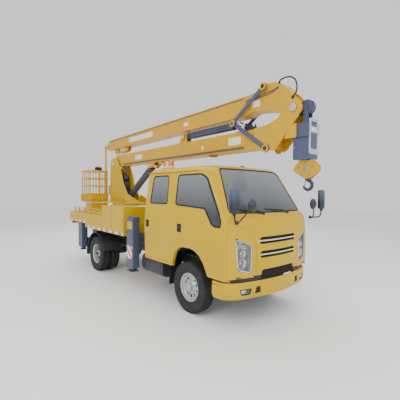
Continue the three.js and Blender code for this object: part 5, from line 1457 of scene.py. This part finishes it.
# pins: ground and capped, with a retaining plate and a greaser in each
caps = Maker()
caps.turn([(0.5, 0), (46, 0), (50, -3), (50, -9), (30, -9), (0.5, -9)], ELBOW[0], 168, ELBOW[1], "Y", 44)
caps.turn([(0.5, 6), (22, 6), (26, 2), (26, 0), (0.5, 0)], ELBOW[0], 168, ELBOW[1], "Y", 6)
caps.mirrored().piece("elbow_caps", "elbow", bright_rod, "chrome", 1)
for boom, body, pins in (("lower", "low_boom", ((LINK_LOW, 175), (ELBOW_CYLINDER, 92), (LIFT_HEAD, 116))),
                         ("upper", "high_boom", ((LINK_HIGH, 197),))):
    caps = Maker()
    for (x, z), y in pins:
        caps.turn([(0.5, 0), (28, 0), (33, -4), (33, -12), (0.5, -12)], x, y, z)
        caps.turn([(0.5, 5), (5, 5), (7, 0), (0.5, 0)], x, y, z, "Y", 10)
    caps.mirrored().piece(f"{boom}_caps", body, bright_rod, "chrome", 0.6)

# the formed pipe that loops over the elbow head, and the grey pipes beside it
loop = Maker()
loop.tube([(1040, -120, 3345), (1060, -134, 3372), (1120, -136, 3388), (1210, -136, 3386), (1290, -136, 3345),
           (1330, -136, 3270), (1334, -136, 3190), (1316, -136, 3136), (1268, -130, 3106)], 11, 12, 2)
loop.rod((1040, -120, 3345), (1048, -128, 3356), 17, 6)
loop.rod((1268, -130, 3106), (1252, -116, 3098), 17, 6)
loop.piece("elbow_loop", "high_boom", black_hose, "black")
grey = Maker()
for k in range(2):
    grey.tube([(700, 118 + 6 * k, 3250 - 22 * k), (900, 122, 3290 - 30 * k), (1060, 122, 3260 - 40 * k),
               (1180, 122, 3150 - 40 * k), (1200, 120, 3060 - 20 * k)], 6, 8, 2)
    grey.tube([(420, -120, 3230 - 26 * k), (700, -121, 3250 - 26 * k), (900, -121, 3262 - 30 * k),
               (1030, -121, 3300 - 12 * k)], 6, 8, 1)
grey.piece("elbow_pipes", "high_boom", slate_steel, "grey")
bundle = Maker().box(380, 520, -52, 52, 2772, 2842)
for k in range(4):
    bundle.turn([(15, 0), (15, 34), (10, 38), (10, 52), (0.5, 54)],
                400 + 34 * k, -30 + (k % 2) * 60, 2840, "Z", 14)
    y = -50 + 34 * k
    bundle.tube([(395 + 30 * k, -66 + 44 * k, 2800), (300, -60 + 40 * k, 2800), (200 - 30 * k, y, 2786),
                 (90, y, 2782), (-300, y, 2782)], 9, 8, 2)
bundle.piece("boom_valves", "low_boom", black_hose, "black", 2)

# ---------------------------------------------------------------- cylinders and links
# Slate blue barrels with turned glands and ports over ground chrome rods; forged links in slate blue with
# yellow rings round their pins.
for cylinder, foot, head, radius, length in (("lift", LIFT_FOOT, LIFT_HEAD, 78, 1275),
                                             ("elbow", ELBOW_CYLINDER, LINK_MEET, 62, 1330)):
    start = Vector((foot[0], 0, foot[1]))
    heading = Vector((head[0] - foot[0], 0, head[1] - foot[1])).normalized()
    dress(f"{cylinder}_barrel", slate_steel, 3)
    dress(f"{cylinder}_rod", bright_rod, 2)
    trim = Maker()
    for along, thick in ((length - 34, 30), (120, 22)):
        trim.rod(start + heading * along, start + heading * (along + thick), radius + 0.5, 40)
    for along in (190, length - 130):
        port = start + heading * along
        trim.rod(port, port - Vector((0, radius + 12, 0)), 15, 6)
    trim.tube([start + heading * along - Vector((0, radius + 6, 0)) for along in (length - 130, 190)], 7, 8)
    trim.piece(f"{cylinder}_barrel_trim", f"{cylinder}_tube", slate_steel, "grey", 1)
    wiper = Maker().rod(start + heading * (length + 1), start + heading * (length + 8), radius * 0.72, 32)
    wiper.piece(f"{cylinder}_barrel_wiper", f"{cylinder}_tube", trim_black, "black", 1)
for row, body, lane, foot, sheet in (("lower", "low_links", 163, LINK_LOW, ochre),
                                     ("upper", "high_links", 185, LINK_HIGH, body_yellow)):
    for hand, _ in SIDES:
        dress(f"{row}_link_{hand}", slate_steel, 4, 3)
    rings = Maker()
    washer(rings, 36, 54, foot[0], lane, foot[1])
    if row == "upper":
        washer(rings, 34, 52, LINK_MEET[0], lane, LINK_MEET[1])
        rings.turn([(0.5, 11), (24, 11), (30, 7), (30, 0), (0.5, 0)], LINK_MEET[0], lane + 1, LINK_MEET[1])
    rings.mirrored().piece(f"{row}_link_rings", body, sheet, "yellow", 0.8)

# ---------------------------------------------------------------- basket
# One person's basket beside the boom's tip: a moulded ribbed tub in yellow under round tube rails, the
# levelling arm behind it, and the upper controls on a post at the front rail.
BASKET_REAR, BASKET_FRONT, BASKET_RIGHT, BASKET_LEFT = -5180, -4480, -691, -142


def basket_ring(gap, radius=70, steps=6):
    """The basket in plan, drawn in by gap."""
    return oblong(BASKET_REAR + gap, BASKET_FRONT - gap, BASKET_RIGHT + gap, BASKET_LEFT - gap, radius, steps)


# up the tub's outside, over its lip and down to its floor: inset and height
TUB = [(30, 1536), (22, 1540), (14, 1600), (10, 1612), (4, 1620), (4, 1636), (10, 1644), (9, 1740), (1, 1746),
       (1, 1766), (26, 1766), (34, 1750), (40, 1570), (60, 1560)]
tub = Maker().loft([[(x, y, z) for x, y in basket_ring(gap)] for gap, z in TUB])
for x in range(BASKET_REAR + 80, BASKET_FRONT - 80, 77):
    for y in (BASKET_RIGHT + 3, BASKET_LEFT - 3):
        tub.box(x - 10, x + 10, y - 6, y + 6, 1560, 1742)
for y in range(BASKET_RIGHT + 90, BASKET_LEFT - 90, 92):
    for x in (BASKET_REAR + 6, BASKET_FRONT - 6):
        tub.box(x - 6, x + 6, y - 10, y + 10, 1560, 1742)
tub.piece("basket_tub", "cage", body_yellow, "yellow", 3)
mat = Maker().slab(basket_ring(62, 40, 5), 1559, 1566)
mat.piece("basket_mat", "cage", plastic("basket_mat", tint("2B2D31"), 0.8, 120.0), "rubber", 1)
rails = Maker()
ring = basket_ring(20, 60)
for z, radius in ((2372, 17), (2170, 13), (1970, 13)):
    rails.tube([(x, y, z) for x, y in ring] + [(*ring[0], z)], radius, 12)
corners = basket_ring(20, 0)
for a, b, parts in zip(corners, corners[1:] + corners[:1], (4, 3, 4, 3)):
    for k in range(parts):
        x, y = Vector(a).lerp(Vector(b), (k + 0.5) / parts)
        rails.rod((x, y, 1760), (x, y, 2372), 13, 12)
        rails.turn([(26, 0), (26, 5), (15, 9)], x, y, 1766, "Z", 16)
rails.piece("basket_rails", "cage", ochre, "yellow")
TIP_PIN = (-4745, 3060)
arm = Maker()
arm.plate(rounded([(-4800, 1700), (-4690, 1700), (-4690, 3110), (-4740, 3120), (-4800, 3110)], 20), -139, -122)
arm.turn([(32, -5), (60, -5), (60, 5), (32, 5)], TIP_PIN[0], -131, TIP_PIN[1], "Y", 36)
arm.plate(oblong(-4790, -4700, 1700, 1745), -150, -124)
arm.plate(oblong(-4790, -4700, 2150, 2190), -170, -124)
arm.piece("basket_arm", "cage", ochre, "yellow", 3, replaces="basket")
bolts = Maker().turn([(0.5, 7), (20, 7), (24, 0), (0.5, 0)], TIP_PIN[0], -141, TIP_PIN[1], "Y", 28, -1)
for z in (1722, 2170):
    for x in (-4772, -4718):
        bolts.bolt(x, -141, z, 14, "Y", -1, 7)
bolts.piece("basket_bolts", "cage", zinc, "cast", 0.5)
post = Maker().rod((-4520, -420, 1770), (-4520, -420, 2500), 16, 14)
post.box(-4600, -4500, -500, -350, 2380, 2388)
post.piece("control_post", "cage", ochre, "yellow", 1)
controls = Maker().box(-4600, -4500, -505, -345, 2388, 2470)
for y in (-480, -442, -404, -366):
    controls.turn([(9, 0), (9, 10), (4, 14), (3, 34), (7, 42), (0.5, 48)], -4550, y, 2468, "Z", 12)
controls.piece("upper_controls", "cage", trim_black, "black", 4)

# ---------------------------------------------------------------- hoist and hook
# The small rope hoist hung on the elbow pin: slate blue cheeks, a bright front frame with two dark
# windows and a blank plate, the rope sheave above, and a yellow block with a forged hook below.
dress("hoist", slate_steel, 4, 3)
face = [(-98, 2330), (98, 2330), (106, 2360), (106, 2790), (-106, 2790), (-106, 2360)]
front = sawn(Maker().panel(rounded(face, 14), 1500, 1512).tool(),
             nose_tool(oblong(-70, 70, 2690, 2750, 10), 1490, 1530),
             nose_tool(oblong(-78, 78, 2400, 2610, 14), 1490, 1530))
finished(front, "hoist_frame", "elbow", chrome, "chrome", 3)
panes = Maker().panel(oblong(-76, 76, 2684, 2756), 1496, 1503)
panes.panel(oblong(-84, 84, 2394, 2616), 1496, 1503)
panes.piece("hoist_windows", "elbow", plastic("hoist_windows", tint("1B2338"), 0.25, 300.0), "black", 1)
tag = Maker().panel(oblong(-56, 56, 2630, 2668, 6), 1510, 1513.5)
tag.piece("hoist_plate", "elbow", blank_plate, "trim", 0.5)
bolts = Maker()
for y, z in ((88, 2350), (92, 2774)):
    bolts.bolt(1511, y, z, 11, "X", 1, 5)
for z in (2420, 2560, 2700):
    bolts.bolt(1300, 112, z, 14, high=4)
bolts.turn([(30, 0), (74, 0), (76, 3), (30, 3)], ELBOW[0], 60, ELBOW[1], "Y", 36)
bolts.mirrored().bolt(1511, 0, 2774, 11, "X", 1, 5)
bolts.piece("hoist_bolts", "elbow", zinc, "cast", 0.5)
SHEAVE = (1410, 0, 2952)
sheave = Maker()
sheave.turn([(14, -38), (84, -36), (100, -34), (102, -26), (76, -12), (72, 0), (76, 12), (102, 26), (100, 34),
             (84, 36), (14, 38)], *SHEAVE, "Y", 56)
sheave.turn([(0.5, -46), (26, -46), (26, 46), (0.5, 46)], *SHEAVE, "Y", 24)
sheave.piece("hoist_sheave", "elbow", trim_black, "black", 1)
roller = Maker().turn([(0.5, -56), (22, -56), (24, -50), (24, 50), (22, 56), (0.5, 56)], 1262, 0, 2300, "Y", 28)
roller.piece("hoist_roller", "elbow", trim_black, "black", 1)
cheek = rounded([(1330, 2256), (1500, 2256), (1590, 2180), (1594, 2120), (1470, 2014), (1400, 2014), (1240, 2120),
                 (1244, 2180)], 18)
block = Maker().plate(cheek, 34, 46).mirrored()
block.plate([(1417 + (x - 1417) * 0.93, 2135 + (z - 2135) * 0.9) for x, z in cheek], -33, 33)
block.piece("block_plates", "hook", ochre, "yellow", 3)
pins = Maker()
for x, z, size in ((1417, 2150, 34), (1320, 2170, 16), (1520, 2170, 16), (1360, 2070, 16), (1490, 2070, 16),
                   (1417, 2228, 16)):
    pins.turn([(0.5, 9), (size * 0.7, 9), (size, 5), (size, 0), (0.5, 0)], x, 45, z, "Y", 24)
pins.mirrored().piece("block_pins", "hook", zinc, "cast", 0.6)
rope_steel = Sheet("rope_steel", Metallic=0.8)
strand = rope_steel.stripes("DIAGONAL", 130.0)
rope_steel.set(Base_Color=rope_steel.blend(strand, tint("5C6066"), tint("9EA3A9")),
               Roughness=rope_steel.noise(20.0).ramp(0.2, 0.8, 0.35, 0.6))
rope_steel.bump(strand, 0.6, 0.001)
rope = Maker().rod((1430, 0, 2240), (1430, 0, 2716), 9, 12)
rope.piece("hoist_rope", "hook", rope_steel, "chrome", replaces="hook_block")
forged = satin("forged_hook", tint("2B3547"), 0.5)
HOOK_X, HOOK_Z, HOOK_RADIUS = 1432, 1930, 62
bends = [math.radians(angle) for angle in range(8, 262, 14)]
path = [Vector((HOOK_X, 0, 2040)), Vector((HOOK_X, 0, 1990))]
path += [Vector((HOOK_X + HOOK_RADIUS * math.sin(bend), 0, HOOK_Z + HOOK_RADIUS * math.cos(bend)))
         for bend in bends]
thickness = [20, 21] + [24 - 10 * (k / 18) ** 3 for k in range(19)]
rings = []
for before, here, after, size in zip(path[:1] + path, path, path[1:] + path[-1:], thickness):
    way = (after - before).normalized()
    out = Vector((way.z, 0, -way.x))
    rings.append([here + out * a + Vector((0, b * 0.72, 0)) for a, b in circle(size, 16)])
hook = Maker().loft(rings)
hook.turn([(0.5, -26), (34, -26), (38, -18), (38, 10), (30, 18), (0.5, 18)], HOOK_X, 0, 2020, "Z", 28)
LATCH = [(1402, 1992, 1408, 1996), (1392, 1960, 1398, 1962), (1378, 1930, 1386, 1928)]
hook.loft([[(x0, -7, z0), (x0, 7, z0), (x1, 7, z1), (x1, -7, z1)] for x0, z0, x1, z1 in LATCH])
hook.piece("forged_hook", "hook", forged, "cast", 1)
